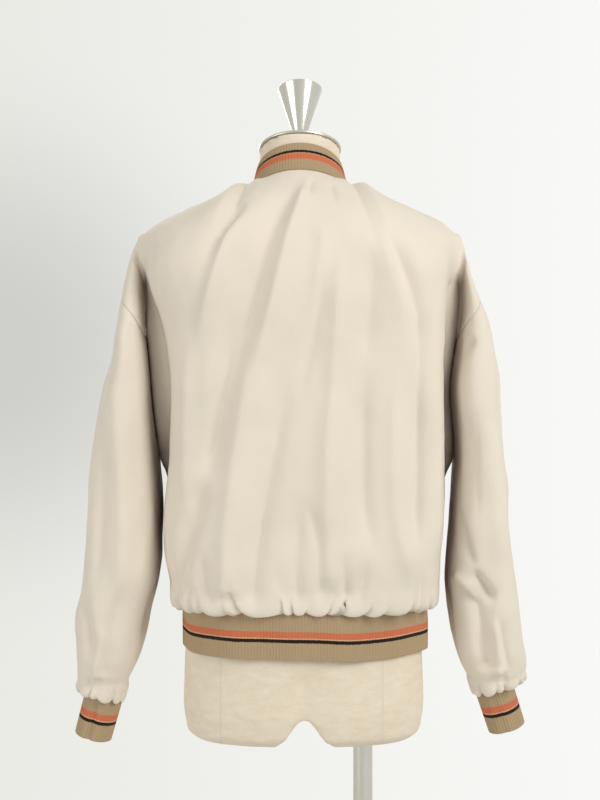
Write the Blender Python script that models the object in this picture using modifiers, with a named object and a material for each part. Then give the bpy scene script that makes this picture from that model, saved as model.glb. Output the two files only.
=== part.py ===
"""Monkey jacket on a limbless dress form.

A waist-length blouson of light woven cloth, with dropped-shoulder sleeves, a ribbed stand
collar, ribbed cuffs and a ribbed hem band, hangs on a linen-covered torso with a steel cap,
a cone finial, a pole and a round base plate.

Metres, +Z up. The front of the jacket faces -Y, and the wearer's left is +X. The origin is
the middle of the base plate's underside.
"""
import math

import bmesh
import bpy
import numpy as np
from mathutils import Vector

# ---------------------------------------------------------------- driving dimensions
WALL = 0.0013                # woven cloth wall, a shell and its soft lining
SEAM = 0.0003                # gap between pieces at a seam
HALF_SEAM = SEAM / 2

HEM_SEAM_Z = 0.8020          # height at which the body is gathered onto its band
HEM_BAND_HEIGHT = 0.0620
HEM_CENTRE_X = -0.0067
HEM_HALF_WIDTH = 0.1700
HEM_BACK_DEPTH = 0.1150
HEM_FRONT_DEPTH = 0.1100
HEM_SQUARENESS = 2.3

NECK_HALF_WIDTH = 0.0660
NECK_HALF_DEPTH = 0.0640
NECK_SIDE_Z = 1.3650         # the neck seam lies in a plane that drops towards the front
NECK_SLOPE = 0.42
COLLAR_TOP_SIDE_Z = 1.3990   # the collar's top edge lies in a steeper plane
COLLAR_TOP_SLOPE = 0.50
COLLAR_TOP_SCALE = 0.90
COLLAR_FRONT_GAP = 0.0030    # half the gap between the collar's ends

ZIP_HALF_WIDTH = 0.0035
ZIP_CLEAR = 0.0004
ZIP_THICKNESS = 0.0018
FRONT_EDGE_X = ZIP_HALF_WIDTH + ZIP_CLEAR
SLIDER_BELOW_NECK = 0.0220

RIB_PITCH = 0.0064
RIB_WALL = 0.0022            # knit band from its plain inside to the foot of its ribs
RIB_HEIGHT = 0.0008

UNDERARM_Z = 1.0030          # lowest point of the armhole
SEAM_TURN_Z = 1.1650         # where the armhole seam leaves the fold behind the arm
SEAM_TOP_Z = 1.2230          # where it crosses the outer edge of the dropped shoulder
SHOULDER_TIP_Z = 1.3040
SHOULDER_TIP_X = 0.2235

COLUMNS = 18                 # columns of a quarter of the body, centre line to side
NECK_COLUMNS = 4             # of which these end on the neck seam
FOLD_COLUMN = 14             # this one runs along the fold edge beside the arm
FOLD_EDGE_X = 0.2085         # where it meets the shoulder line
STRIP_COLUMNS = 6            # columns of a panel across the back or front of its dropped shoulder
BLOUSE_ROWS = [-1.0, -0.75, -0.5, -0.25, 0.0]
LOWER_ROWS = 4               # from the blousing to the underarm
FOLD_ROWS = 5                # from the underarm to where the armhole seam turns out
UPPER_ROWS = 3               # from there to the foot of the turn
TURN_ROWS = 5                # over the turn to the shoulder and neck
UNDER_ROW = len(BLOUSE_ROWS) - 1 + LOWER_ROWS
TURN_OUT_ROW = UNDER_ROW + FOLD_ROWS
SEAM_CURVE = 1.6             # how soon the armhole seam turns towards the outer edge
CUFF_HALF_WIDTH = 0.0262
CUFF_HALF_DEPTH = 0.0310
CUFF_LENGTH = 0.0590
CUFF_MOUTH_IN = 0.0010       # the knit draws in a little at its mouth
HEM_MOUTH_IN = 0.0010
COLLAR_BOW = 0.0012          # and the collar stands out a little at half its height
ZIP_TOP_GAP = 0.0020
SLEEVE_BLOUSE_RISE = 0.0160
SLIDER_WIDTH = 0.0080
SLIDER_LENGTH = 0.0100
SLIDER_PLATE = 0.0014
SLIDER_LIFT = 0.0006         # the slider's plate stands this far off the chain
BAIL_WIDTH = 0.0022
BAIL_OPENING = 0.0023        # clear height under the bail's bar
BAIL_BAR = 0.0010
BAIL_SPAN = 0.0062
TAB_WIDTH = 0.0070
TAB_THICKNESS = 0.0012
TAB_LENGTH = 0.0250
TAB_BAR = 0.0014             # the tab's top bar, which lies under the bail
TAB_EYE_WIDTH = 0.0034
TAB_EYE_LENGTH = 0.0062
JOIN = 0.0002                # pieces that a Boolean joins run this far into each other
CREASE_WALL = 0.0032         # depth of cloth in the sharp crease between body and arm
FOLD_TRIM = 0.0005           # both edges are drawn back this far in that crease

CAP_RADIUS = 0.0575
CAP_THICKNESS = 0.0035
CAP_TILT = math.radians(15)
CAP_Z = 1.4300
FINIAL_FOOT_RADIUS = 0.0060
FINIAL_TOP_RADIUS = 0.0312
FINIAL_HEIGHT = 0.0920
FINIAL_FOOT_HEIGHT = 0.0120
METAL_EDGE = 0.0008          # broken edge of the metal pieces
POLE_RADIUS = 0.0135
POLE_X = -0.0880
POLE_SOCKET_DEPTH = 0.0600
FORM_BOTTOM_Z = 0.6150
BASE_RADIUS = 0.1800
BASE_THICKNESS = 0.0090
BASE_BEVEL = 0.0015
SOCKET_RADIUS = 0.0230
SOCKET_HEIGHT = 0.0280


def table(names, *rows):
    """A small table: a dictionary of columns, from rows written in order of height."""
    columns = names.split()
    return {name: np.array([row[i] for row in rows], float) for i, name in enumerate(columns)}


# The body, level by level. Half widths at the fold edge beside each arm, and how far the
# cloth stands behind and before the middle of the figure.
BODY = table(
    "z       left    right   back    front",
    (0.8300, 0.1775, 0.1915, 0.1240, 0.1180),
    (0.8650, 0.1790, 0.1925, 0.1270, 0.1220),
    (0.9100, 0.1805, 0.1965, 0.1265, 0.1240),
    (1.0000, 0.1770, 0.1990, 0.1245, 0.1270),
    (1.0800, 0.1765, 0.1972, 0.1250, 0.1320),
    (1.1500, 0.1810, 0.1978, 0.1275, 0.1330),
    (1.1900, 0.1893, 0.1998, 0.1285, 0.1300),
    (1.2400, 0.2069, 0.2028, 0.1280, 0.1240),
    (1.3000, 0.2140, 0.2100, 0.1250, 0.1180),
)
BODY_SQUARENESS = 2.9
ARMHOLE_MEET = 0.045         # height over which the body's side moves out to the armhole
FOLD_TURN = 0.74             # from here to its side the body's outline turns to meet the arm
FOLD_BEND = 1.5
LAST_OUT_ACROSS = 0.985      # the side's outward direction is taken just before the side

# The arm, from the tip of the dropped shoulder to the gathers above the cuff: inner and
# outer edge as seen from behind, and half its depth from front to back.
ARM_LEFT = table(
    "z       inner   outer   deep    middle",
    (0.6900, 0.2400, 0.3105, 0.0430, 0.000),
    (0.7120, 0.2290, 0.3110, 0.0540, 0.000),
    (0.7410, 0.2190, 0.3122, 0.0610, 0.000),
    (0.7840, 0.2100, 0.3130, 0.0660, 0.001),
    (0.8126, 0.2020, 0.3060, 0.0680, 0.001),
    (0.8610, 0.1925, 0.3005, 0.0710, 0.002),
    (0.9000, 0.1915, 0.2975, 0.0740, 0.002),
    (0.9340, 0.1920, 0.2940, 0.0770, 0.001),
    (1.0000, 0.1967, 0.2856, 0.0840, 0.000),
    (1.0760, 0.2042, 0.2730, 0.0890, 0.000),
    (1.1280, 0.2078, 0.2600, 0.0880, 0.000),
    (1.1800, 0.2120, 0.2525, 0.0800, 0.000),
    (1.2150, 0.2120, 0.2475, 0.0680, 0.000),
    (1.2450, 0.2135, 0.2425, 0.0540, 0.000),
    (1.2800, 0.2160, 0.2350, 0.0330, 0.000),
    (1.3040, 0.2190, 0.2280, 0.0120, 0.000),
)
ARM_RIGHT = table(
    "z       inner   outer   deep    middle",
    (0.6950, 0.2340, 0.3130, 0.0460, 0.000),
    (0.7150, 0.2240, 0.3150, 0.0570, 0.000),
    (0.7550, 0.2120, 0.3085, 0.0640, 0.000),
    (0.7920, 0.2060, 0.3046, 0.0680, 0.001),
    (0.8280, 0.2030, 0.3000, 0.0700, 0.001),
    (0.8570, 0.2040, 0.2954, 0.0720, 0.002),
    (0.9000, 0.2080, 0.2898, 0.0750, 0.002),
    (0.9640, 0.2125, 0.2856, 0.0800, 0.001),
    (1.0000, 0.2150, 0.2790, 0.0840, 0.000),
    (1.0360, 0.2125, 0.2760, 0.0870, 0.000),
    (1.0910, 0.2065, 0.2730, 0.0890, 0.000),
    (1.1500, 0.2130, 0.2670, 0.0860, 0.000),
    (1.1900, 0.2185, 0.2590, 0.0780, 0.000),
    (1.2230, 0.2205, 0.2464, 0.0660, 0.000),
    (1.2500, 0.2205, 0.2380, 0.0520, 0.000),
    (1.2830, 0.2195, 0.2310, 0.0300, 0.000),
    (1.3040, 0.2195, 0.2270, 0.0120, 0.000),
)
ARM_SQUARENESS = 2.4

# Half the width of the way from the body into the arm, measured front to back. It closes at
# the underarm, and opens out to the surface at the shoulder's tip.
PASSAGE = table(
    "z       half",
    (1.0030, 0.0000),
    (1.0300, 0.0110),
    (1.0600, 0.0170),
    (1.1000, 0.0220),
    (1.1650, 0.0260),
    (1.2100, 0.0250),
    (1.2500, 0.0230),
    (1.2800, 0.0170),
    (1.3040, 0.0060),
)

# The shoulder line on a side, from the neck to the shoulder's tip.
SHOULDER = table(
    "x       z",
    (0.0660, 1.3650),
    (0.1000, 1.3620),
    (0.1260, 1.3560),
    (0.1710, 1.3395),
    (0.2000, 1.3260),
    (0.2140, 1.3150),
    (0.2235, 1.3040),
)

# How the cloth turns over towards the seam at the top of each column, from the centre line
# (0) to the side (1): the height of the turn, and the angle through which it turns.
TURN_BACK = table(
    "across  height  degrees",
    (0.0000, 0.1250, 42.0),
    (0.2200, 0.1150, 100.0),
    (0.3000, 0.1100, 110.0),
    (0.4500, 0.1000, 94.0),
    (0.7500, 0.0800, 86.0),
    (1.0000, 0.0400, 86.0),
)
TURN_FRONT = table(
    "across  height  degrees",
    (0.0000, 0.1300, 48.0),
    (0.2200, 0.1300, 66.0),
    (0.4000, 0.1150, 84.0),
    (0.7500, 0.0850, 86.0),
    (1.0000, 0.0400, 86.0),
)

# The bottom of the body and of the sleeves blouses over its band: rise above the seam, and
# how far out the cloth stands, from the band's ring (0) to the full width of the piece (1).
BLOUSE = table(
    "rise     out",
    (0.0000, 0.00),
    (0.0006, 0.20),
    (-0.0060, 0.52),
    (0.0005, 0.88),
    (0.0120, 1.00),
)
BLOUSE_RISE = 0.0280         # above this height the cloth keeps its full width

# Where folds may show: they fade towards the arm and the front edges (across), and as the
# cloth turns over to its seams (up). They push it straight out, and little to the side.
FOLDS_FADE_SIDE = (0.66, 0.78)
FOLDS_FADE_FRONT = (0.02, 0.16)
FOLDS_FADE_TURN = (1.45, 1.95)
FOLD_PUSH_SIDEWAYS = 0.35
FOLD_FADE_OUT = 0.0250       # each fold fades beyond its ends over this length
FOLD_FADE_IN = 0.0500        # and within them over this one
TURN_RISE_SHARE = 0.55       # of the way sideways over the turn, this part goes with its rise
BLOUSE_CALM_FRONT = (0.02, 0.20)
DROP_FROM = 0.22             # the gathers hang from here (out) to the blousing's full width

# Long soft folds of the body. Each runs through three points, given across (towards the
# wearer's left) and up, with its width and how far it stands out (or in, if negative).
BACK_FOLDS = table(
    "x_top   z_top   x_mid   z_mid   x_low   z_low   width   out",
    (0.0520, 1.3500, 0.1180, 1.2500, 0.1440, 1.1500, 0.0110, 0.0050),
    (0.0700, 1.3300, 0.1350, 1.2500, 0.1500, 1.2000, 0.0140, -0.0035),
    (-0.0100, 1.3500, 0.0180, 1.2650, 0.0720, 1.1200, 0.0120, 0.0055),
    (0.0150, 1.3400, 0.0500, 1.2500, 0.1150, 0.8400, 0.0150, -0.0060),
    (0.1120, 1.1600, 0.1200, 1.0000, 0.1560, 0.8300, 0.0160, -0.0080),
    (0.0850, 1.2000, 0.0700, 1.0000, 0.0560, 0.8300, 0.0220, 0.0060),
    (-0.0280, 1.3000, -0.0150, 1.2200, 0.0480, 0.8100, 0.0150, -0.0065),
    (-0.0500, 1.2900, -0.0440, 1.1800, -0.0330, 0.8200, 0.0180, 0.0080),
    (-0.0780, 1.2600, -0.0820, 1.1000, -0.0950, 0.8500, 0.0170, -0.0070),
    (-0.1120, 1.2600, -0.1200, 1.1400, -0.1230, 0.8200, 0.0130, 0.0060),
    (-0.1280, 1.2900, -0.1620, 1.1900, -0.1600, 0.8600, 0.0130, -0.0080),
    (-0.1800, 1.2000, -0.1820, 1.0000, -0.1780, 0.8500, 0.0110, 0.0030),
)
FRONT_FOLDS = table(
    "x_top   z_top   x_mid   z_mid   x_low   z_low   width   out",
    (0.0700, 1.3300, 0.0900, 1.2300, 0.1050, 1.0800, 0.0140, 0.0050),
    (0.0900, 1.3000, 0.1300, 1.1500, 0.1450, 0.9000, 0.0160, -0.0065),
    (0.0450, 1.2200, 0.0620, 1.0500, 0.0750, 0.8300, 0.0160, -0.0050),
    (0.0950, 1.1200, 0.1050, 0.9800, 0.1100, 0.8300, 0.0180, 0.0060),
    (-0.0650, 1.3300, -0.0850, 1.2400, -0.1000, 1.1000, 0.0140, 0.0050),
    (-0.1000, 1.3000, -0.1400, 1.1700, -0.1550, 0.9200, 0.0150, -0.0060),
    (-0.0500, 1.2300, -0.0700, 1.0500, -0.0850, 0.8300, 0.0160, -0.0055),
    (-0.1080, 1.1400, -0.1200, 1.0000, -0.1250, 0.8300, 0.0180, 0.0055),
)

# Gathers above the hem band: their place round a half of the body, from the centre line (0)
# to the side (1), and how far each small lobe stands out and hangs down.
GATHERS = table(
    "across  width   out      drop",
    (0.070, 0.030, 0.0040, 0.0030),
    (0.170, 0.028, 0.0030, 0.0040),
    (0.290, 0.032, 0.0042, 0.0035),
    (0.400, 0.026, 0.0028, 0.0025),
    (0.520, 0.030, 0.0038, 0.0045),
    (0.640, 0.028, 0.0034, 0.0030),
    (0.760, 0.026, 0.0030, 0.0035),
    (0.880, 0.028, 0.0026, 0.0020),
)
GATHER_SHIFT_RIGHT = 0.0350  # the right half's gathers lie this much further round
GATHER_FULL = 0.0100         # the gathers are full up to this height above the seam
GATHER_REACH = 0.0700        # and have faded out at this one

# Folds of the sleeves: round the arm in degrees (0 outer edge, 90 back, 180 inner, 270
# front) at the top and the foot of each fold, its ends, its width in metres and its depth.
ARM_FOLDS_LEFT = table(
    "turn_top z_top  turn_low z_low  width   out",
    (70.0, 1.1500, 95.0, 0.9200, 0.0160, 0.0035),
    (45.0, 1.0300, 35.0, 0.7900, 0.0120, -0.0055),
    (120.0, 1.1000, 130.0, 0.9300, 0.0140, -0.0040),
    (25.0, 0.8200, 40.0, 0.7100, 0.0090, -0.0050),
    (100.0, 0.9000, 90.0, 0.7300, 0.0170, 0.0040),
    (300.0, 1.1200, 290.0, 0.8600, 0.0150, -0.0050),
    (250.0, 1.0500, 265.0, 0.8000, 0.0160, 0.0040),
    (320.0, 0.8600, 310.0, 0.7200, 0.0120, -0.0050),
)
ARM_FOLDS_RIGHT = table(
    "turn_top z_top  turn_low z_low  width   out",
    (120.0, 1.1500, 95.0, 1.1300, 0.0090, -0.0045),
    (60.0, 1.1500, 75.0, 0.9000, 0.0150, 0.0035),
    (125.0, 1.0000, 95.0, 0.8300, 0.0110, -0.0040),
    (120.0, 0.8700, 62.0, 0.7850, 0.0100, 0.0060),
    (75.0, 0.8300, 80.0, 0.7100, 0.0130, -0.0060),
    (45.0, 0.7700, 60.0, 0.7000, 0.0100, 0.0045),
    (300.0, 1.1100, 285.0, 0.8800, 0.0150, -0.0050),
    (245.0, 1.0000, 260.0, 0.7800, 0.0160, 0.0045),
    (310.0, 0.8500, 300.0, 0.7200, 0.0120, -0.0050),
)
CUFF_GATHER_OUT = 0.0016     # where it is gathered onto its cuff, every other column stands out
CUFF_GATHER_FULL = 0.0200
CUFF_GATHER_REACH = 0.0450
SLEEVE_FOLDS_BEGIN = 0.0300  # the sleeve's folds grow over this length below its armhole
SLEEVE_TURN_EVEN = 0.45      # its columns are evenly spaced from this share of its length down
SLEEVE_BLOUSE_SCALE = 0.80   # its blousing rises less than the body's

# Each cuff hangs at its own slant: middle of its mouth, and lean from the vertical.
CUFFS = {
    +1: {"mouth": (0.2890, 0.6120), "lean": math.radians(15), "arm": ARM_LEFT,
         "folds": ARM_FOLDS_LEFT},
    -1: {"mouth": (0.2890, 0.6240), "lean": math.radians(18), "arm": ARM_RIGHT,
         "folds": ARM_FOLDS_RIGHT},
}
SLEEVE_ROWS = 13

# The dress form, level by level: half width, and depth behind and before the middle.
FORM = table(
    "z       side    back    front   square",
    (0.6150, 0.1480, 0.0800, 0.0740, 2.6),
    (0.6220, 0.1580, 0.0900, 0.0840, 2.6),
    (0.6400, 0.1640, 0.0970, 0.0900, 2.5),
    (0.7000, 0.1660, 0.1030, 0.0950, 2.4),
    (0.7600, 0.1630, 0.1050, 0.0980, 2.3),
    (0.8100, 0.1600, 0.1010, 0.0960, 2.3),
    (0.8800, 0.1450, 0.0900, 0.0900, 2.2),
    (0.9700, 0.1335, 0.0845, 0.0890, 2.2),
    (1.0800, 0.1480, 0.0940, 0.1010, 2.3),
    (1.2000, 0.1640, 0.0990, 0.1020, 2.4),
    (1.2600, 0.1760, 0.0950, 0.0900, 2.4),
    (1.2900, 0.1830, 0.0880, 0.0780, 2.3),
    (1.3100, 0.1720, 0.0780, 0.0680, 2.2),
    (1.3300, 0.1380, 0.0680, 0.0600, 2.1),
    (1.3450, 0.0850, 0.0570, 0.0500, 2.0),
    (1.3600, 0.0600, 0.0530, 0.0500, 2.0),
    (1.3850, 0.0530, 0.0520, 0.0500, 2.0),
    (1.4278, 0.0520, 0.0520, 0.0510, 2.0),
)
FORM_LEAN_LOW_Z = 1.3000     # above this the form leans towards the tilt of its neck cap
FORM_LEAN_HIGH_Z = 1.3600
FORM_CENTRE_X = -0.0050
FORM_SIDES = 32
GROOVE_DEPTH = 0.0060        # soft groove up the middle, above the arch between the thighs
GROOVE_WIDTH = 0.0160
GROOVE_TOP_Z = 0.7400
GROOVE_FADE = 0.0500

# The arch between the thighs, from its flared foot to its top.
ARCH = table(
    "half    height",
    (0.0440, -0.0100),
    (0.0390, 0.0000),
    (0.0260, 0.0110),
    (0.0180, 0.0230),
    (0.0110, 0.0330),
    (0.0040, 0.0395),
)
ARCH_X = -0.0060
ARCH_CUT_DEPTH = 0.2000

# ---------------------------------------------------------------- colours
CLOTH = ((0.720, 0.655, 0.540), 0.70, 0.0)
KNIT = ((0.450, 0.320, 0.180), 0.85, 0.0)
LINEN = ((0.800, 0.740, 0.620), 0.85, 0.0)
STEEL = ((0.560, 0.555, 0.530), 0.28, 1.0)
BRASS = ((0.560, 0.450, 0.260), 0.35, 1.0)
TAPE = ((0.520, 0.430, 0.300), 0.80, 0.0)


# ---------------------------------------------------------------- small helpers
def read(rows, column, at, key="z"):
    """A smooth reading of a table's column, by cubic steps between its rows."""
    keys = rows[key]
    values = rows[column]
    slopes = np.gradient(values, keys)
    at = float(np.clip(at, keys[0], keys[-1]))
    i = min(int(np.searchsorted(keys, at, side="right")) - 1, len(keys) - 2)
    span = keys[i + 1] - keys[i]
    t = (at - keys[i]) / span
    near = (2 * t ** 3 - 3 * t ** 2 + 1) * values[i] + (t ** 3 - 2 * t ** 2 + t) * span * slopes[i]
    far = (3 * t ** 2 - 2 * t ** 3) * values[i + 1] + (t ** 3 - t ** 2) * span * slopes[i + 1]
    return near + far


def straight(rows, column, at, key="z"):
    """A straight-line reading of a table's column."""
    return float(np.interp(at, rows[key], rows[column]))


def ramp(value, low, high):
    """0 below low, 1 above high, and a smooth rise between them."""
    t = min(1.0, max(0.0, (value - low) / (high - low)))
    return t * t * (3 - 2 * t)


def bell(distance, width):
    return math.exp(-(distance / width) ** 2)


def signed_power(value, power):
    return math.copysign(abs(value) ** power, value)


def unit(vector):
    length = np.linalg.norm(vector)
    return vector / length if length > 0 else vector


def material(name, look):
    colour, roughness, metallic = look
    found = bpy.data.materials.new(name)
    found.use_nodes = True
    shader = found.node_tree.nodes["Principled BSDF"]
    shader.inputs["Base Color"].default_value = (*colour, 1)
    shader.inputs["Roughness"].default_value = roughness
    shader.inputs["Metallic"].default_value = metallic
    return found


def collection(name):
    made = bpy.data.collections.new(name)
    bpy.context.scene.collection.children.link(made)
    return made


def add_object(name, points, faces, home, look, smooth=60):
    """An object from points and faces, with its faces turned outwards."""
    mesh = bpy.data.meshes.new(name)
    mesh.from_pydata([tuple(p) for p in points], [], faces)
    body = bmesh.new()
    body.from_mesh(mesh)
    bmesh.ops.triangulate(body, faces=body.faces)
    bmesh.ops.recalc_face_normals(body, faces=body.faces)
    if body.calc_volume(signed=True) < 0:
        bmesh.ops.reverse_faces(body, faces=body.faces)
    body.to_mesh(mesh)
    body.free()
    mesh.shade_smooth()
    mesh.set_sharp_from_angle(angle=math.radians(smooth))
    made = bpy.data.objects.new(name, mesh)
    made.data.materials.append(material(name + "_finish", look))
    home.objects.link(made)
    return made


# ---------------------------------------------------------------- the body's surface
def neck_plane(y):
    return NECK_SIDE_Z + NECK_SLOPE * y


def arm_of(side):
    return CUFFS[side]["arm"]


def arm_point(side, turn, z, extra=0.0):
    """A point on the arm's surface: turn is 0 at its outer edge, a quarter at its back."""
    arm = arm_of(side)
    inner = read(arm, "inner", z)
    outer = read(arm, "outer", z)
    deep = read(arm, "deep", z)
    half = (outer - inner) / 2
    power = 2 / ARM_SQUARENESS
    x = (inner + outer) / 2 + (half + extra) * signed_power(math.cos(turn), power)
    y = read(arm, "middle", z) + (deep + extra) * signed_power(math.sin(turn), power)
    return np.array([side * x, y, z])


def passage_turn(side, z, face):
    """The turn at which the way into the arm begins, at this height."""
    deep = read(arm_of(side), "deep", z)
    share = min(1.0, straight(PASSAGE, "half", z) / deep)
    angle = math.pi - math.asin(share ** (ARM_SQUARENESS / 2))
    return angle * face


def fold_bottom(side, z, face):
    """The bottom of the fold between body and arm, or the side seam below the underarm."""
    half = straight(PASSAGE, "half", z)
    side_name = "left" if side > 0 else "right"
    plain = read(BODY, side_name, z)
    inner = abs(arm_point(side, passage_turn(side, z, face), z)[0])
    share = ramp(z, UNDERARM_Z - ARMHOLE_MEET, UNDERARM_Z + 0.001)
    return plain + (inner - plain) * share, half


def section(side, face, across, z):
    """The body's outline at one height, from the centre line (0) to its side (1)."""
    side_name = "left" if side > 0 else "right"
    wide = read(BODY, side_name, z)
    deep = read(BODY, "back" if face > 0 else "front", z)
    side_x, side_y = fold_bottom(side, z, face)
    power = 2 / BODY_SQUARENESS
    angle = across * math.pi / 2
    start = 0.0 if face > 0 else FRONT_EDGE_X
    x = start + (wide - start) * math.sin(angle) ** power
    x += (side_x - wide) * max(0.0, (across - FOLD_TURN) / (1 - FOLD_TURN)) ** FOLD_BEND
    y = side_y + (deep - side_y) * max(0.0, math.cos(angle)) ** power
    return x, y


def top_end(side, face, across):
    """Where a column ends: on the neck seam, or on the shoulder line."""
    neck_share = NECK_COLUMNS / COLUMNS
    fold_share = FOLD_COLUMN / COLUMNS
    if across <= neck_share:
        start = 0.0 if face > 0 else math.asin(FRONT_EDGE_X / NECK_HALF_WIDTH)
        angle = start + (math.pi / 2 - start) * across / neck_share
        y = face * NECK_HALF_DEPTH * math.cos(angle)
        return np.array([side * NECK_HALF_WIDTH * math.sin(angle), y, neck_plane(y)])
    first = SHOULDER["x"][0]
    if across <= fold_share:
        x = first + (FOLD_EDGE_X - first) * (across - neck_share) / (fold_share - neck_share)
    else:
        x = FOLD_EDGE_X + (SHOULDER_TIP_X - FOLD_EDGE_X) * (across - fold_share) / (1 - fold_share)
    return np.array([side * x, 0.0, read(SHOULDER, "z", x, key="x")])


def fold_offset(folds, x, z):
    """How far the long folds lift the cloth at this place."""
    total = 0.0
    for i in range(len(folds["out"])):
        heights = [folds["z_low"][i], folds["z_mid"][i], folds["z_top"][i]]
        places = [folds["x_low"][i], folds["x_mid"][i], folds["x_top"][i]]
        path = np.interp(z, heights, places)
        fade = ramp(z, heights[0] - FOLD_FADE_OUT, heights[0] + FOLD_FADE_IN)
        fade *= 1 - ramp(z, heights[2] - FOLD_FADE_IN, heights[2] + FOLD_FADE_OUT)
        total += folds["out"][i] * fade * bell(x - path, folds["width"][i])
    return total


def gather(side, across, name):
    """The lobes of the gathered edge, a little different on each side of the body."""
    shift = 0.0 if side > 0 else GATHER_SHIFT_RIGHT
    total = 0.0
    for i in range(len(GATHERS["out"])):
        total += GATHERS[name][i] * bell(across - GATHERS["across"][i] - shift, GATHERS["width"][i])
    return total


def band_ring(side, face, across, out=0.0):
    """The outline of the hem band, which is also that of the seam above it."""
    angle = across * math.pi / 2
    power = 2 / HEM_SQUARENESS
    wide = HEM_HALF_WIDTH + side * HEM_CENTRE_X + out
    deep = (HEM_BACK_DEPTH if face > 0 else HEM_FRONT_DEPTH) + out
    start = 0.0 if face > 0 else FRONT_EDGE_X
    x = start + (wide - start) * math.sin(angle) ** power
    y = deep * max(0.0, math.cos(angle)) ** power
    return side * x, face * y


def body_point(side, face, across, up):
    """A point on the body's outer surface. up is below 0 on the blousing above the band,
    0 to 1 from there to the place where the cloth turns over, and 1 to 2 over the turn."""
    turn = TURN_BACK if face > 0 else TURN_FRONT
    end = top_end(side, face, across)
    turn_z = end[2] - straight(turn, "height", across, key="across")
    low_z = HEM_SEAM_Z + BLOUSE_RISE
    z = low_z + (turn_z - low_z) * min(1.0, max(0.0, up))
    x, y = section(side, face, across, z)
    point = np.array([side * x, face * y, z])
    folds = BACK_FOLDS if face > 0 else FRONT_FOLDS
    quiet = 1 - ramp(across, *FOLDS_FADE_SIDE)
    if face < 0:
        quiet *= ramp(across, *FOLDS_FADE_FRONT)
    if up > 1:
        full = math.radians(straight(turn, "degrees", across, key="across"))
        part = (up - 1) * full
        rise = math.sin(part) / math.sin(full)
        reach = (1 - math.cos(part)) / (1 - math.cos(full))
        sideways = TURN_RISE_SHARE * rise + (1 - TURN_RISE_SHARE) * reach
        point = np.array([
            point[0] + (end[0] - point[0]) * sideways,
            point[1] + (end[1] - point[1]) * reach,
            point[2] + (end[2] - point[2]) * rise,
        ])
        quiet *= 1 - ramp(up, *FOLDS_FADE_TURN)
    push = fold_offset(folds, point[0], point[2]) * quiet
    height = point[2] - HEM_SEAM_Z
    gathers = quiet * (1 - ramp(height, GATHER_FULL, GATHER_REACH))
    push += gather(side, across, "out") * gathers
    away = unit(np.array([point[0] * FOLD_PUSH_SIDEWAYS, point[1], 0.0]))
    point = point + away * push
    if up < 0:
        row = (1 + up) * (len(BLOUSE["out"]) - 1)
        steps = np.arange(len(BLOUSE["out"]))
        out = float(np.interp(row, steps, BLOUSE["out"]))
        rise = float(np.interp(row, steps, BLOUSE["rise"]))
        centre_calm = 1.0 if face > 0 else ramp(across, *BLOUSE_CALM_FRONT)
        rise = rise * centre_calm + BLOUSE["rise"][-1] * out * (1 - centre_calm)
        hang = math.sin(math.pi * ramp(out, DROP_FROM, 1.0))
        drop = gather(side, across, "drop") * quiet * hang
        ring = band_ring(side, face, across)
        point = np.array([
            ring[0] + (point[0] - ring[0]) * out,
            ring[1] + (point[1] - ring[1]) * out,
            HEM_SEAM_Z + rise - drop * centre_calm,
        ])
    return point


def body_out(side, face, across, up):
    """The outward direction of the body's surface."""
    step = 0.004
    low_a, high_a = max(0.0, across - step), min(1.0, across + step)
    low_u, high_u = max(-1.0, up - step), min(2.0, up + step)
    along = body_point(side, face, high_a, up) - body_point(side, face, low_a, up)
    upward = body_point(side, face, across, high_u) - body_point(side, face, across, low_u)
    return unit(np.cross(along, upward)) * -side * face


def up_of_height(side, z):
    """The row value at which the last column of a panel has this height."""
    low_z = HEM_SEAM_Z + BLOUSE_RISE
    turn_z = SHOULDER_TIP_Z - straight(TURN_BACK, "height", 1.0, key="across")
    return (z - low_z) / (turn_z - low_z)


def row_values(side):
    under = up_of_height(side, UNDERARM_Z)
    turn_out = up_of_height(side, SEAM_TURN_Z)
    rows = list(BLOUSE_ROWS)
    rows += list(np.linspace(0.0, under, LOWER_ROWS + 1)[1:])
    rows += list(np.linspace(under, turn_out, FOLD_ROWS + 1)[1:])
    rows += list(np.linspace(turn_out, 1.0, UPPER_ROWS + 1)[1:])
    rows += list(np.linspace(1.0, 2.0, TURN_ROWS + 1)[1:])
    return rows


def seam_height(turn_share):
    """The height of the armhole seam round the dropped shoulder, from the fold (0) to the
    outer edge (1)."""
    return SEAM_TURN_Z + (SEAM_TOP_Z - SEAM_TURN_Z) * (1 - (1 - turn_share) ** SEAM_CURVE)


def column_point(side, face, row):
    """The last point of a panel's row, where the body meets the arm or the other panel."""
    return body_point(side, face, 1.0, row_values(side)[row])


def strip_point(side, face, share, row, rows_above):
    """A point on the dropped shoulder, with its turn round the arm. share runs from the fold
    to the outer edge, and row from the armhole seam (0) to the shoulder's tip."""
    lift = row / rows_above
    fold = column_point(side, face, TURN_OUT_ROW + row)
    z = fold[2] + (seam_height(share) - SEAM_TURN_Z) * (1 - lift)
    z = min(z, SHOULDER_TIP_Z)
    start = abs(passage_turn(side, z, face))
    turn = start * (1 - share) * face
    first = arm_point(side, passage_turn(side, fold[2], face), fold[2])
    return arm_point(side, turn, z) + (fold - first) * (1 - share), turn


def arm_out(side, turn, z):
    """The outward direction of the arm's surface."""
    step = 0.01
    rise = 0.002
    round_way = arm_point(side, turn + step, z) - arm_point(side, turn - step, z)
    upward = arm_point(side, turn, z + rise) - arm_point(side, turn, z - rise)
    return unit(np.cross(round_way, upward)) * side


def toward(point, target, distance):
    return point + unit(target - point) * distance


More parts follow.
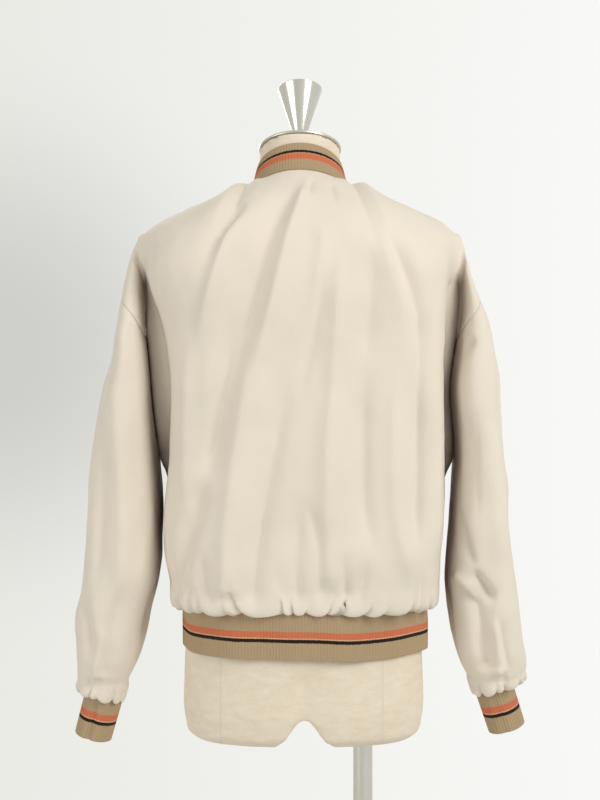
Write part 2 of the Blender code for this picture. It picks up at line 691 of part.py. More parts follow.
def half_panel(side, face):
    """Half a panel, centre line to side and on over the dropped shoulder: rows of outer
    points, and rows of the steps from each to the wall's inner side."""
    rows = row_values(side)
    last = len(rows) - 1
    points, steps = [], []
    for j, up in enumerate(rows):
        line, inward = [], []
        for i in range(COLUMNS + 1):
            across = i / COLUMNS
            line.append(body_point(side, face, across, up))
            out = body_out(side, face, min(across, LAST_OUT_ACROSS), up)
            if i == COLUMNS and j <= UNDER_ROW:
                out = unit(np.array([side, 0.0, out[2] / 2]))
            if j == last and i >= NECK_COLUMNS:
                out = unit(np.array([out[0], 0.0, abs(out[2])]))
            inward.append(-out * WALL)
        points.append(line)
        steps.append(inward)
    above = last - TURN_OUT_ROW
    for row in range(above):
        line = points[TURN_OUT_ROW + row]
        inward = steps[TURN_OUT_ROW + row]
        crease = min(CREASE_WALL, abs(line[-1][1]) / 2)
        inward[-1] = np.array([0.0, -face * crease, 0.0])
        for k in range(1, STRIP_COLUMNS + 1):
            point, turn = strip_point(side, face, k / STRIP_COLUMNS, row, above)
            out = arm_out(side, turn, point[2])
            if k == STRIP_COLUMNS:
                point[1] = 0.0
                out = unit(np.array([out[0], 0.0, out[2]]))
            line.append(point)
            inward.append(-out * WALL)
    return points, steps


def trim_half(side, face, points):
    """Draw the edges back by half a seam gap, and a little more in the fold by the arm."""
    last = len(points) - 1
    seam_step = np.array([0.0, face * HALF_SEAM, 0.0])
    under = points[UNDER_ROW]
    under[COLUMNS] = toward(under[COLUMNS], under[COLUMNS - 1], 3 * FOLD_TRIM)
    under[COLUMNS][1] = 0.0
    for j in range(UNDER_ROW + 1):
        points[j][COLUMNS] = points[j][COLUMNS] + seam_step
    for j in range(UNDER_ROW + 1, TURN_OUT_ROW):
        points[j][COLUMNS] = toward(points[j][COLUMNS], points[j][COLUMNS - 1], FOLD_TRIM)
    seam = points[TURN_OUT_ROW]
    above = points[TURN_OUT_ROW + 1]
    for k in range(COLUMNS, COLUMNS + STRIP_COLUMNS + 1):
        seam[k] = toward(seam[k], above[k], FOLD_TRIM if k == COLUMNS else HALF_SEAM)
    for j in range(TURN_OUT_ROW, last):
        points[j][-1] = points[j][-1] + seam_step
    for i in range(NECK_COLUMNS, COLUMNS + 1):
        points[last][i] = points[last][i] + seam_step


def join_wall(points, steps, faces):
    """A closed wall from outer points, the steps to its inner side, and its outer faces."""
    count = len(points)
    inner = [p + s for p, s in zip(points, steps)]
    closed = list(faces) + [tuple(i + count for i in reversed(face)) for face in faces]
    uses = {}
    for face in faces:
        for a, b in zip(face, face[1:] + face[:1]):
            uses.setdefault(frozenset((a, b)), []).append((a, b))
    for edges in uses.values():
        if len(edges) == 1:
            a, b = edges[0]
            closed.append((b, a, a + count, b + count))
    return list(points) + inner, closed


def panel_faces(index):
    """Outer faces of half a panel, from its rows of point numbers."""
    faces = []
    for low, high in zip(index, index[1:]):
        shared = min(len(low), len(high))
        for i in range(shared - 1):
            faces.append((low[i], low[i + 1], high[i + 1], high[i]))
        if len(low) > len(high):
            for i in range(shared - 1, len(low) - 1):
                faces.append((low[i], low[i + 1], high[-1]))
    return faces


def make_panel(name, halves, home):
    """The back (both halves, joined at its centre line) or one front."""
    points, steps, faces = [], [], []
    centre = None
    for side, face in halves:
        rows, inward = half_panel(side, face)
        trim_half(side, face, rows)
        index = []
        for j, line in enumerate(rows):
            numbers = []
            for i, point in enumerate(line):
                if i == 0 and centre is not None:
                    numbers.append(centre[j])
                    continue
                numbers.append(len(points))
                points.append(point)
                steps.append(inward[j][i])
            index.append(numbers)
        if centre is None and len(halves) > 1:
            centre = [numbers[0] for numbers in index]
        faces += panel_faces(index)
    return add_object(name, *join_wall(points, steps, faces), home, CLOTH)


# ---------------------------------------------------------------- sleeves and cuffs
def cuff_frame(side):
    """Middle of the cuff's mouth, its axis upwards, and its outward direction across."""
    lean = CUFFS[side]["lean"]
    x, z = CUFFS[side]["mouth"]
    mouth = np.array([side * x, 0.0, z])
    axis = np.array([-side * math.sin(lean), 0.0, math.cos(lean)])
    across = np.array([side * math.cos(lean), 0.0, math.sin(lean)])
    return mouth, axis, across


def cuff_ring(side, turn, along, out=0.0):
    """A point of the cuff's outline, at a distance along its axis from its mouth."""
    mouth, axis, across = cuff_frame(side)
    depth = np.array([0.0, 1.0, 0.0])
    ring = across * (CUFF_HALF_WIDTH + out) * math.cos(turn)
    ring = ring + depth * (CUFF_HALF_DEPTH + out) * math.sin(turn)
    return mouth + axis * along + ring


def armhole_loop(side):
    """The sleeve's top edge, from the underarm up the back, over and down the front: each
    point with its turn round the arm, and the point it is drawn back towards."""
    loop = []
    above = len(row_values(side)) - 1 - TURN_OUT_ROW
    under = column_point(side, 1, UNDER_ROW)
    under[1] = 0.0
    loop.append((under, math.pi))
    for face in (1, -1):
        half = []
        for row in range(UNDER_ROW + 1, TURN_OUT_ROW + 1):
            point = column_point(side, face, row)
            turn = passage_turn(side, point[2], face)
            half.append((point, turn if face > 0 else 2 * math.pi + turn))
        for k in range(1, STRIP_COLUMNS + 1):
            point, turn = strip_point(side, face, k / STRIP_COLUMNS, 0, above)
            half.append((point, turn if face > 0 else 2 * math.pi + turn))
        if face > 0:
            half[-1][0][1] = 0.0
            loop += half
        else:
            loop += [(point, turn - 2 * math.pi) for point, turn in reversed(half[:-1])]
    return loop


def arm_fold_offset(side, turn, z):
    """How far the sleeve's long folds lift it here, with turns measured round the arm."""
    folds = CUFFS[side]["folds"]
    arm = arm_of(side)
    radius = (read(arm, "outer", z) - read(arm, "inner", z)) / 4 + read(arm, "deep", z) / 2
    total = 0.0
    for i in range(len(folds["out"])):
        low, high = folds["z_low"][i], folds["z_top"][i]
        path = np.interp(z, [low, high], [folds["turn_low"][i], folds["turn_top"][i]])
        gap = (math.degrees(turn) - path + 180) % 360 - 180
        fade = ramp(z, low - FOLD_FADE_OUT, low + FOLD_FADE_OUT)
        fade *= 1 - ramp(z, high - FOLD_FADE_OUT, high + FOLD_FADE_OUT)
        total += folds["out"][i] * fade * bell(math.radians(gap) * radius, folds["width"][i])
    return total


def sleeve_points(side):
    """Rows of the sleeve from its armhole seam to its cuff, and the steps inwards."""
    loop = armhole_loop(side)
    count = len(loop)
    axis = cuff_frame(side)[1]
    even = [math.pi - 2 * math.pi * i / count for i in range(count)]
    rows, steps = [], []
    for j in range(SLEEVE_ROWS + 1):
        share = j / SLEEVE_ROWS
        line, inward = [], []
        for i, (start, turn_top) in enumerate(loop):
            turn = turn_top + (even[i] - turn_top) * ramp(share, 0.0, SLEEVE_TURN_EVEN)
            foot = cuff_ring(side, even[i], CUFF_LENGTH)
            low_z = foot[2] + SLEEVE_BLOUSE_RISE
            z = start[2] + (low_z - start[2]) * share
            calm = ramp(start[2] - z, 0.0, SLEEVE_FOLDS_BEGIN)
            wave = 1 if i % 2 == 0 else -1
            lift = arm_fold_offset(side, turn, z) * calm
            lift += wave * CUFF_GATHER_OUT * (1 - ramp(z - foot[2], CUFF_GATHER_FULL, CUFF_GATHER_REACH))
            out = arm_out(side, turn, z)
            point = arm_point(side, turn, z) + out * lift
            if j == 0:
                point = start
            line.append(point)
            inward.append(-out * WALL)
        rows.append(line)
        steps.append(inward)
    full, full_steps = rows[-1], steps[-1]
    for out_share, rise in reversed(list(zip(BLOUSE["out"][:-1], BLOUSE["rise"][:-1]))):
        line, inward = [], []
        for i in range(count):
            foot = cuff_ring(side, even[i], CUFF_LENGTH)
            gathered = foot + axis * (rise * SLEEVE_BLOUSE_SCALE + SEAM)
            spread = (full[i] - foot) - axis * np.dot(full[i] - foot, axis)
            line.append(gathered + spread * out_share)
            inward.append(full_steps[i])
        rows.append(line)
        steps.append(inward)
    return rows, steps


def grid_out(rows, side):
    """Outward directions of a closed tube of rows, from its own points."""
    count = len(rows[0])
    outs = []
    for j in range(len(rows)):
        high = rows[max(0, j - 1)]
        low = rows[min(len(rows) - 1, j + 1)]
        line = []
        for i in range(count):
            along = rows[j][(i + 1) % count] - rows[j][i - 1]
            line.append(unit(np.cross(along, low[i] - high[i])) * side)
        outs.append(line)
    return outs


def make_sleeve(name, side, home):
    rows, steps = sleeve_points(side)
    count = len(rows[0])
    outs = grid_out(rows, side)
    for j in range(1, len(rows)):
        steps[j] = [-out * WALL for out in outs[j]]
    mouth, axis, _ = cuff_frame(side)
    last = len(rows) - 1
    for i in range(count):
        centre = mouth + axis * CUFF_LENGTH
        flat = rows[last][i] - centre
        flat = flat - axis * np.dot(flat, axis)
        steps[last][i] = -unit(flat) * WALL
        from_underarm = min(i, count - i)
        trim = FOLD_TRIM if from_underarm <= FOLD_ROWS else HALF_SEAM
        if from_underarm <= 1:
            trim = 2 * FOLD_TRIM
        rows[0][i] = toward(rows[0][i], rows[1][i], trim)
    points = [p for line in rows for p in line]
    inward = [s for line in steps for s in line]
    faces = []
    for j in range(len(rows) - 1):
        for i in range(count):
            k = (i + 1) % count
            faces.append((j * count + i, j * count + k, (j + 1) * count + k, (j + 1) * count + i))
    return add_object(name, *join_wall(points, inward, faces), home, CLOTH)


# ---------------------------------------------------------------- ribbed bands
def resample(line, count, closed):
    """Points spaced evenly along a line of points."""
    line = np.array(line + [line[0]] if closed else line)
    lengths = np.concatenate([[0], np.cumsum(np.linalg.norm(np.diff(line, axis=0), axis=1))])
    places = np.linspace(0, lengths[-1], count + 1 if closed else count)
    if closed:
        places = places[:-1]
    columns = [np.interp(places, lengths, line[:, i]) for i in range(3)]
    return np.stack(columns, axis=1)


def length_of(line, closed):
    line = np.array(line + [line[0]] if closed else line)
    return float(np.linalg.norm(np.diff(line, axis=0), axis=1).sum())


def stitch(one, other):
    """Triangles between two lines of point numbers that run side by side."""
    faces = []
    i, k = 0, 0
    while i < len(one) - 1 or k < len(other) - 1:
        next_one = (i + 1) / (len(one) - 1) if i < len(one) - 1 else 2.0
        next_other = (k + 1) / (len(other) - 1) if k < len(other) - 1 else 2.0
        if next_one <= next_other:
            faces.append((one[i], one[i + 1], other[k]))
            i += 1
        else:
            faces.append((one[i], other[k + 1], other[k]))
            k += 1
    return faces


def rib_band(name, outline, levels, out_of, home, closed, inner_count, look=KNIT):
    """A knit band: ribs raised on its outer side, over a plain inner side. outline(level)
    gives the line at the foot of the ribs, and out_of(points) its outward directions."""
    ribs = int(round(length_of(outline(0.0), closed) / RIB_PITCH))
    outer_count = 2 * ribs + (0 if closed else 1)
    points, outer_index, inner_index = [], [], []
    for level in np.linspace(0.0, 1.0, levels):
        line = resample(outline(level), outer_count, closed)
        out = out_of(line)
        numbers = []
        for i in range(outer_count):
            raised = RIB_HEIGHT if i % 2 else 0.0
            numbers.append(len(points))
            points.append(line[i] + out[i] * raised)
        outer_index.append(numbers)
    for level in np.linspace(0.0, 1.0, levels):
        line = resample(outline(level), inner_count, closed)
        out = out_of(line)
        numbers = []
        for i in range(inner_count):
            numbers.append(len(points))
            points.append(line[i] - out[i] * RIB_WALL)
        inner_index.append(numbers)
    if closed:
        outer_index = [line + [line[0]] for line in outer_index]
        inner_index = [line + [line[0]] for line in inner_index]
    faces = []
    for grid in (outer_index, inner_index):
        for low, high in zip(grid, grid[1:]):
            for i in range(len(low) - 1):
                faces.append((low[i], low[i + 1], high[i + 1], high[i]))
    faces += stitch(outer_index[0], inner_index[0])
    faces += stitch(outer_index[-1], inner_index[-1])
    if not closed:
        for end in (0, -1):
            for j in range(levels - 1):
                faces.append((outer_index[j][end], outer_index[j + 1][end],
                              inner_index[j + 1][end], inner_index[j][end]))
    return add_object(name, points, faces, home, look, smooth=35)


def level_out(centre, axis=np.array([0.0, 0.0, 1.0]), closed=True):
    """A function that gives the outward directions of a ring round a centre."""
    def out_of(line):
        if closed:
            along = np.roll(line, -1, axis=0) - np.roll(line, 1, axis=0)
        else:
            along = np.gradient(line, axis=0)
        out = np.cross(along, axis)
        out /= np.linalg.norm(out, axis=1)[:, None]
        away = np.einsum("ij,ij->i", out, line - centre)
        return out * np.sign(away)[:, None]
    return out_of


def half_outline(function, samples):
    """The outline from the left front edge round the back to the right front edge."""
    shares = np.linspace(0.0, 1.0, samples)
    line = [function(1, -1, a) for a in shares]
    line += [function(1, 1, a) for a in shares[::-1]][1:]
    line += [function(-1, 1, a) for a in shares][1:]
    line += [function(-1, -1, a) for a in shares[::-1]][1:]
    return line


def make_hem_band(home):
    def outline(level):
        z = HEM_SEAM_Z - SEAM - HEM_BAND_HEIGHT * (1 - level)
        draw_in = HEM_MOUTH_IN * (1 - level)

        def at(side, face, across):
            x, y = band_ring(side, face, across, -draw_in)
            return np.array([x, y, z])
        return half_outline(at, 60)
    centre = np.array([HEM_CENTRE_X, 0.0, HEM_SEAM_Z])
    return rib_band("hem_band", outline, 3, level_out(centre, closed=False), home, False, 49)


def neck_outline(scale, side_z, slope):
    """The neck ring, from the left end of the collar round the back to its right end."""
    start = math.asin(COLLAR_FRONT_GAP / NECK_HALF_WIDTH)
    line = []
    for turn in np.linspace(start, 2 * math.pi - start, 120):
        x = NECK_HALF_WIDTH * scale * math.sin(turn)
        y = -NECK_HALF_DEPTH * scale * math.cos(turn)
        line.append(np.array([x, y, side_z + slope * y]))
    return line


def make_collar(home):
    low = neck_outline(1.0, NECK_SIDE_Z + SEAM, NECK_SLOPE)
    high = neck_outline(COLLAR_TOP_SCALE, COLLAR_TOP_SIDE_Z, COLLAR_TOP_SLOPE)

    def outline(level):
        bow = COLLAR_BOW * math.sin(math.pi * level)
        line = []
        for a, b in zip(low, high):
            point = a + (b - a) * level
            out = unit(np.array([point[0], point[1], 0.0]))
            line.append(point + out * bow)
        return line
    centre = np.array([0.0, 0.0, NECK_SIDE_Z])
    seam_axis = np.array([0.0, -NECK_SLOPE, 1.0])
    out_of = level_out(centre, seam_axis, closed=False)
    return rib_band("collar", outline, 3, out_of, home, False, 33)


def make_cuff(name, side, home):
    mouth, axis, _ = cuff_frame(side)

    def outline(level):
        along = CUFF_LENGTH * level
        turns = np.linspace(0, 2 * math.pi, 72, endpoint=False)
        return [cuff_ring(side, turn, along, -CUFF_MOUTH_IN * (1 - level)) for turn in turns]
    return rib_band(name, outline, 3, level_out(mouth, axis), home, True, 28)


# ---------------------------------------------------------------- zip
def centre_front():
    """Points down the middle of the front, from the neck to the foot of the hem band, with
    their outward directions, on the outer surface of the cloth."""
    ups = [up for up in reversed(row_values(1))]
    line = [body_point(1, -1, 0.0, up) for up in ups]
    line = line[:-1]
    for share in (0.0, 0.5, 1.0):
        z = HEM_SEAM_Z - SEAM - HEM_BAND_HEIGHT * share
        line.append(np.array([0.0, -HEM_FRONT_DEPTH + HEM_MOUTH_IN * share, z]))
    line = [np.array([0.0, p[1], p[2]]) for p in line]
    outs = []
    for i in range(len(line)):
        along = line[min(i + 1, len(line) - 1)] - line[max(i - 1, 0)]
        outs.append(unit(np.array([0.0, along[2], -along[1]])))
    return line, outs


def make_zip(home):
    line, outs = centre_front()
    stop = line[0] + unit(line[1] - line[0]) * ZIP_TOP_GAP
    line[0] = stop
    points = []
    for point, out in zip(line, outs):
        for x, depth in ((-1, 0), (1, 0), (1, 1), (-1, 1)):
            edge = np.array([x * ZIP_HALF_WIDTH, 0.0, 0.0])
            points.append(point + edge - out * ZIP_THICKNESS * depth)
    faces = [(0, 1, 2, 3), tuple(len(points) - 4 + i for i in (3, 2, 1, 0))]
    for j in range(len(line) - 1):
        for i in range(4):
            k = (i + 1) % 4
            faces.append((4 * j + i, 4 * j + k, 4 * j + 4 + k, 4 * j + 4 + i))
    return add_object("zip", points, faces, home, TAPE, smooth=30)


def box_mesh(body, size, place):
    """Add a box to a mesh being made, by its size and the place of its middle."""
    made = bmesh.ops.create_cube(body, size=1.0)
    bmesh.ops.scale(body, vec=Vector(size), verts=made["verts"])
    bmesh.ops.translate(body, vec=Vector(place), verts=made["verts"])


def boxes_object(name, boxes, home, look):
    """An object of one box, or of several that a Boolean union joins."""
    pieces = []
    for i, (size, place) in enumerate(boxes):
        body = bmesh.new()
        box_mesh(body, size, place)
        mesh = bpy.data.meshes.new(name if i == 0 else name + "_join")
        body.to_mesh(mesh)
        body.free()
        made = bpy.data.objects.new(mesh.name, mesh)
        pieces.append(made)
    first = pieces[0]
    home.objects.link(first)
    first.data.materials.append(material(name + "_finish", look))
    return first, pieces[1:]


def hide_cutter(cutter, home):
    home.objects.link(cutter)
    cutter.hide_render = True
    cutter.display_type = "WIRE"


def add_boolean(target, cutter, operation):
    step = target.modifiers.new(operation.lower(), "BOOLEAN")
    step.operation = operation
    step.object = cutter


def slider_frame():
    """A point on the middle of the front just below the neck, and the slope there."""
    line, outs = centre_front()
    walked = 0.0
    for a, b, out in zip(line, line[1:], outs):
        step = np.linalg.norm(b - a)
        if walked + step >= SLIDER_BELOW_NECK:
            place = a + (b - a) * (SLIDER_BELOW_NECK - walked) / step
            down = unit(b - a)
            return place, np.array([0.0, down[2], -down[1]])
        walked += step
    return line[0], outs[0]


def make_slider(home, cutters):
    """The slider's front plate and its bail, and the pull tab that swings on the bail. In
    the slider's own frame +Z runs up the zip and -Y points away from the cloth."""
    place, out = slider_frame()
    out = out if out[1] < 0 else -out
    tilt = math.atan2(-out[2], -out[1])
    frame = bpy.data.objects.new("slider_frame", None)
    frame.location = place
    frame.rotation_euler = (tilt, 0.0, 0.0)
    home.objects.link(frame)

    plate_y = -(SLIDER_LIFT + SLIDER_PLATE / 2)
    front_y = -(SLIDER_LIFT + SLIDER_PLATE)
    bar_y = front_y - BAIL_OPENING / 2
    foot = (BAIL_WIDTH, BAIL_OPENING + 2 * JOIN, BAIL_BAR)
    boxes = [
        ((SLIDER_WIDTH, SLIDER_PLATE, SLIDER_LENGTH), (0, plate_y, 0)),
        (foot, (0, bar_y, BAIL_SPAN / 2)),
        (foot, (0, bar_y, -BAIL_SPAN / 2)),
        ((BAIL_WIDTH, BAIL_BAR, BAIL_SPAN + BAIL_BAR),
         (0, front_y - BAIL_OPENING - BAIL_BAR / 2, 0)),
    ]
    slider, joins = boxes_object("zip_slider", boxes, home, BRASS)
    slider.parent = frame
    for piece in joins:
        hide_cutter(piece, cutters)
        piece.parent = frame
        add_boolean(slider, piece, "UNION")

    hinge = bpy.data.objects.new("pull_tab_hinge", None)
    hinge.parent = frame
    hinge.location = (0.0, bar_y, 0.0)
    home.objects.link(hinge)
    outer = ((TAB_WIDTH, TAB_THICKNESS, TAB_LENGTH), (0, 0, TAB_BAR / 2 - TAB_LENGTH / 2))
    tab, _ = boxes_object("pull_tab", [outer], home, BRASS)
    tab.parent = hinge
    eye_z = -(TAB_BAR / 2 + TAB_EYE_LENGTH / 2)
    eye_box = ((TAB_EYE_WIDTH, 4 * TAB_THICKNESS, TAB_EYE_LENGTH), (0, 0, eye_z))
    eye, _ = boxes_object("tab_eye", [eye_box], cutters, BRASS)
    eye.parent = hinge
    eye.hide_render = True
    eye.display_type = "WIRE"
    add_boolean(tab, eye, "DIFFERENCE")


# ---------------------------------------------------------------- dress form and stand
def form_ring(z):
    side = read(FORM, "side", z)
    back = read(FORM, "back", z)
    front = read(FORM, "front", z)
    power = 2 / read(FORM, "square", z)
    ring = []
    neck_share = ramp(z, FORM_LEAN_LOW_Z, FORM_LEAN_HIGH_Z)
    lean = math.tan(CAP_TILT) * neck_share
    for i in range(FORM_SIDES):
        turn = 2 * math.pi * i / FORM_SIDES
        x = side * signed_power(math.sin(turn), power)
        deep = back if math.cos(turn) > 0 else front
        y = deep * signed_power(math.cos(turn), power)
        groove = GROOVE_DEPTH * (1 - ramp(z, GROOVE_TOP_Z - GROOVE_FADE, GROOVE_TOP_Z))
        y -= math.copysign(groove * bell(x, GROOVE_WIDTH), y)
        centre = FORM_CENTRE_X * (1 - neck_share)
        ring.append((x + centre, y, z + lean * y))
    return ring


def make_arch_cutter():
    """The arch's outline, drawn out from front to back."""
    right = [(ARCH_X + half, FORM_BOTTOM_Z + up) for half, up in zip(ARCH["half"], ARCH["height"])]
    left = [(ARCH_X - half, FORM_BOTTOM_Z + up) for half, up in zip(ARCH["half"], ARCH["height"])]
    outline = right + left[::-1]
    count = len(outline)
    points = [(x, y, z) for y in (-ARCH_CUT_DEPTH, ARCH_CUT_DEPTH) for x, z in outline]
    faces = [tuple(range(count)), tuple(range(2 * count - 1, count - 1, -1))]
    for i in range(count):
        k = (i + 1) % count
        faces.append((k, i, count + i, count + k))
    mesh = bpy.data.meshes.new("arch_cutter")
    mesh.from_pydata(points, [], faces)
    return bpy.data.objects.new("arch_cutter", mesh)


def make_form(home, cutters):
    points, faces = [], []
    heights = FORM["z"]
    top = len(heights) - 1
    for z in heights:
        points += form_ring(z)
    for j in range(top):
        for i in range(FORM_SIDES):
            k = (i + 1) % FORM_SIDES
            a, b = j * FORM_SIDES, (j + 1) * FORM_SIDES
            faces.append((a + i, a + k, b + k, b + i))
    faces.append(tuple(range(FORM_SIDES)))
    faces.append(tuple(reversed([top * FORM_SIDES + i for i in range(FORM_SIDES)])))
    form = add_object("dress_form", points, faces, home, LINEN)

    arch = make_arch_cutter()
    bpy.ops.mesh.primitive_cylinder_add(vertices=24, radius=POLE_RADIUS + SEAM,
                                        depth=2 * POLE_SOCKET_DEPTH,
                                        location=(POLE_X, 0, FORM_BOTTOM_Z))
    bore = bpy.context.object
    bore.name = "pole_bore_cutter"
    for old in bore.users_collection:
        old.objects.unlink(bore)
    for cutter in (arch, bore):
        hide_cutter(cutter, cutters)
        add_boolean(form, cutter, "DIFFERENCE")


def turned(name, profile, home, look, steps=40, ring=False):
    """A turned piece: a profile of (radius, height) from the top down, round the Z axis.
    A ring's profile is a closed one."""
    mesh = bpy.data.meshes.new(name)
    edges = [(i, i + 1) for i in range(len(profile) - 1)]
    if ring:
        edges.append((len(profile) - 1, 0))
    mesh.from_pydata([(r, 0.0, z) for r, z in profile], edges, [])
    made = bpy.data.objects.new(name, mesh)
    made.data.materials.append(material(name + "_finish", look))
    home.objects.link(made)
    screw = made.modifiers.new("turn", "SCREW")
    screw.axis = "Z"
    screw.steps = steps
    screw.render_steps = steps
    screw.use_merge_vertices = True
    screw.merge_threshold = 0.00005
    screw.use_smooth_shade = True
    return made


def make_stand(home):
    head = bpy.data.objects.new("cap_frame", None)
    head.location = (0.0, 0.0, CAP_Z)
    head.rotation_euler = (CAP_TILT, 0.0, 0.0)
    home.objects.link(head)
    half = CAP_THICKNESS / 2
    edge = METAL_EDGE
    cap = turned("neck_cap", [
        (0.0, half), (CAP_RADIUS - edge, half), (CAP_RADIUS, half - edge),
        (CAP_RADIUS, -half + edge), (CAP_RADIUS - edge, -half), (0.0, -half)], home, STEEL)
    cap.parent = head
    foot = half + SEAM
    tip = foot + FINIAL_HEIGHT
    finial = turned("finial", [
        (0.0, tip), (FINIAL_TOP_RADIUS - 2 * edge, tip), (FINIAL_TOP_RADIUS, tip - 2 * edge),
        (FINIAL_TOP_RADIUS - edge, tip - 6 * edge), (FINIAL_FOOT_RADIUS, foot + FINIAL_FOOT_HEIGHT),
        (FINIAL_FOOT_RADIUS, foot), (0.0, foot)], home, STEEL)
    finial.parent = head

    low = BASE_THICKNESS + SEAM
    high = FORM_BOTTOM_Z + POLE_SOCKET_DEPTH - SEAM
    pole = turned("pole", [(0.0, high), (POLE_RADIUS, high), (POLE_RADIUS, low), (0.0, low)],
                  home, STEEL, steps=24)
    pole.location = (POLE_X, 0.0, 0.0)

    turned("base_plate", [
        (0.0, BASE_THICKNESS), (BASE_RADIUS - BASE_BEVEL, BASE_THICKNESS),
        (BASE_RADIUS, BASE_THICKNESS - BASE_BEVEL), (BASE_RADIUS, 0.0), (0.0, 0.0)],
        home, STEEL, steps=56)
    socket = turned("pole_socket", [
        (POLE_RADIUS + SEAM, low + SOCKET_HEIGHT), (SOCKET_RADIUS - edge, low + SOCKET_HEIGHT),
        (SOCKET_RADIUS, low + SOCKET_HEIGHT - edge), (SOCKET_RADIUS, low),
        (POLE_RADIUS + SEAM, low)], home, STEEL, steps=24, ring=True)
    socket.location = (POLE_X, 0.0, 0.0)


def main():
    for old in list(bpy.data.objects):
        bpy.data.objects.remove(old, do_unlink=True)
    home = collection("monkey_jacket_on_dress_form")
    cutters = collection("cutters")
    make_panel("back", [(1, 1), (-1, 1)], home)
    make_panel("front_left", [(1, -1)], home)
    make_panel("front_right", [(-1, -1)], home)
    make_sleeve("sleeve_left", 1, home)
    make_sleeve("sleeve_right", -1, home)
    make_collar(home)
    make_hem_band(home)
    make_cuff("cuff_left", 1, home)
    make_cuff("cuff_right", -1, home)
    make_zip(home)
    make_slider(home, cutters)
    make_form(home, cutters)
    make_stand(home)


main()
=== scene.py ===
"""Finish of a monkey jacket on a limbless dress form: cloth, rib knit, zip, linen and steel.

Laid out as a Blender add-on and run as a script. Metres, +Z up; the jacket's front faces -Y
and the wearer's left is +X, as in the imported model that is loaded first.
"""
import math
from contextlib import contextmanager

import bmesh
import bpy
import numpy as np
from bpy.props import FloatProperty, FloatVectorProperty, PointerProperty
from mathutils import Matrix, Vector, noise
from mathutils.kdtree import KDTree


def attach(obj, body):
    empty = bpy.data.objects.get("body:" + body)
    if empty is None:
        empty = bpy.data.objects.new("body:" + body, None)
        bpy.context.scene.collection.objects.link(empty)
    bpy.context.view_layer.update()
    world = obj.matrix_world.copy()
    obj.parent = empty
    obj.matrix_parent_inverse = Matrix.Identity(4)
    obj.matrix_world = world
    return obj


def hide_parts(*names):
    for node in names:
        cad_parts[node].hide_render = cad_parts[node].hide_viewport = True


bl_info = {
    "name": "Monkey jacket on a dress form",
    "version": (1, 0, 0),
    "blender": (4, 5, 0),
    "location": "3D View > Sidebar > Jacket",
    "description": "Cloth, knit, zip, linen and steel around the packed model",
    "category": "Object",
}

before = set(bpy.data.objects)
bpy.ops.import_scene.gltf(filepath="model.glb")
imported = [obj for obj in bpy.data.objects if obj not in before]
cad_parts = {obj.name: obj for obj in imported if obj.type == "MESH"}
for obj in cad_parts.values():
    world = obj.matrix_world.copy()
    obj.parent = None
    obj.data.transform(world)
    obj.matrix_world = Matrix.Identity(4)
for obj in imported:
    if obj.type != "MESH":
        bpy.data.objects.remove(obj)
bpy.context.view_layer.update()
HELD = "jacket_and_form"     # the body that everything but the pull tab rides on
TAB = "pull_tab"

# ---------------------------------------------------------------- sizes
# These are the sizes of the solids, but for a few that say how they are fuller.
SEAM = 0.0003
HEM_SEAM_Z = 0.8020
HEM_BAND_HEIGHT = 0.0620
HEM_CENTRE_X = -0.0067
HEM_HALF_WIDTH = 0.1700
HEM_BACK_DEPTH = 0.1150
HEM_FRONT_DEPTH = 0.1100
HEM_SQUARENESS = 2.3
NECK_HALF_WIDTH = 0.0660
NECK_HALF_DEPTH = 0.0640
NECK_SIDE_Z = 1.3650
NECK_SLOPE = 0.42
COLLAR_TOP_SIDE_Z = 1.3990
COLLAR_TOP_SLOPE = 0.50
COLLAR_TOP_SCALE = 0.90
COLLAR_FRONT_GAP = 0.0030
COLLAR_BOW = 0.0012
COLLAR_EXTRA_HEIGHT = 0.0040   # what its lean adds to its height along the cloth
FRONT_EDGE_X = 0.0039
SLIDER_BELOW_NECK = 0.0220
UNDERARM_Z = 1.0030
SEAM_TURN_Z = 1.1650
SEAM_TOP_Z = 1.2230
SEAM_CURVE = 1.6
SHOULDER_TIP_Z = 1.3040
SHOULDER_TIP_X = 0.2235
NECK_SHARE = 4 / 18          # this share of the columns of half a panel ends on the neck seam
FOLD_SHARE = 14 / 18         # the columns from here on make the fold beside the arm
FOLD_EDGE_X = 0.2085
RIB_WALL = 0.0022
CUFF_HALF_WIDTH = 0.0262
CUFF_HALF_DEPTH = 0.0310
CUFF_LENGTH = 0.0590
BLOUSE_RISE = 0.0280
SLEEVE_BLOUSE_RISE = 0.0160
BODY_SQUARENESS = 3.3        # fuller than the solid's 2.9, as hanging cloth stands at its edges
FOLD_TURN = 0.965            # in the deep fold beside the arm the cloth turns out late
FOLD_BEND = 1.0
ARMHOLE_MEET = 0.045
ARM_SQUARENESS = 2.4
TURN_RISE_SHARE = 0.55       # how much of the way in the cloth makes as it rises
CAP_RADIUS = 0.0575
CAP_THICKNESS = 0.0035
CAP_TILT = math.radians(15)
CAP_EDGE = 0.0009
CAP_Z = 1.4300
FINIAL_FOOT_RADIUS = 0.0060
FINIAL_TOP_RADIUS = 0.0312
FINIAL_HEIGHT = 0.0920
FINIAL_FOOT_HEIGHT = 0.0120
FINIAL_EDGE = 0.0016
POLE_RADIUS = 0.0135
POLE_EDGE = 0.0008
POLE_X = -0.0880
POLE_SOCKET_DEPTH = 0.0600
BASE_RADIUS = 0.1800
BASE_THICKNESS = 0.0090
BASE_EDGE = 0.0015
BASE_FOOT_EDGE = 0.0004
SOCKET_RADIUS = 0.0230
SOCKET_HEIGHT = 0.0280
SOCKET_EDGE = 0.0012
FORM_BOTTOM_Z = 0.6150
FORM_LEAN_LOW_Z = 1.3000
FORM_LEAN_HIGH_Z = 1.3600
FORM_CENTRE_X = -0.0050
ARCH_X = -0.0060
ARCH_CUT_DEPTH = 0.4         # deeper than the form, to cut right through it
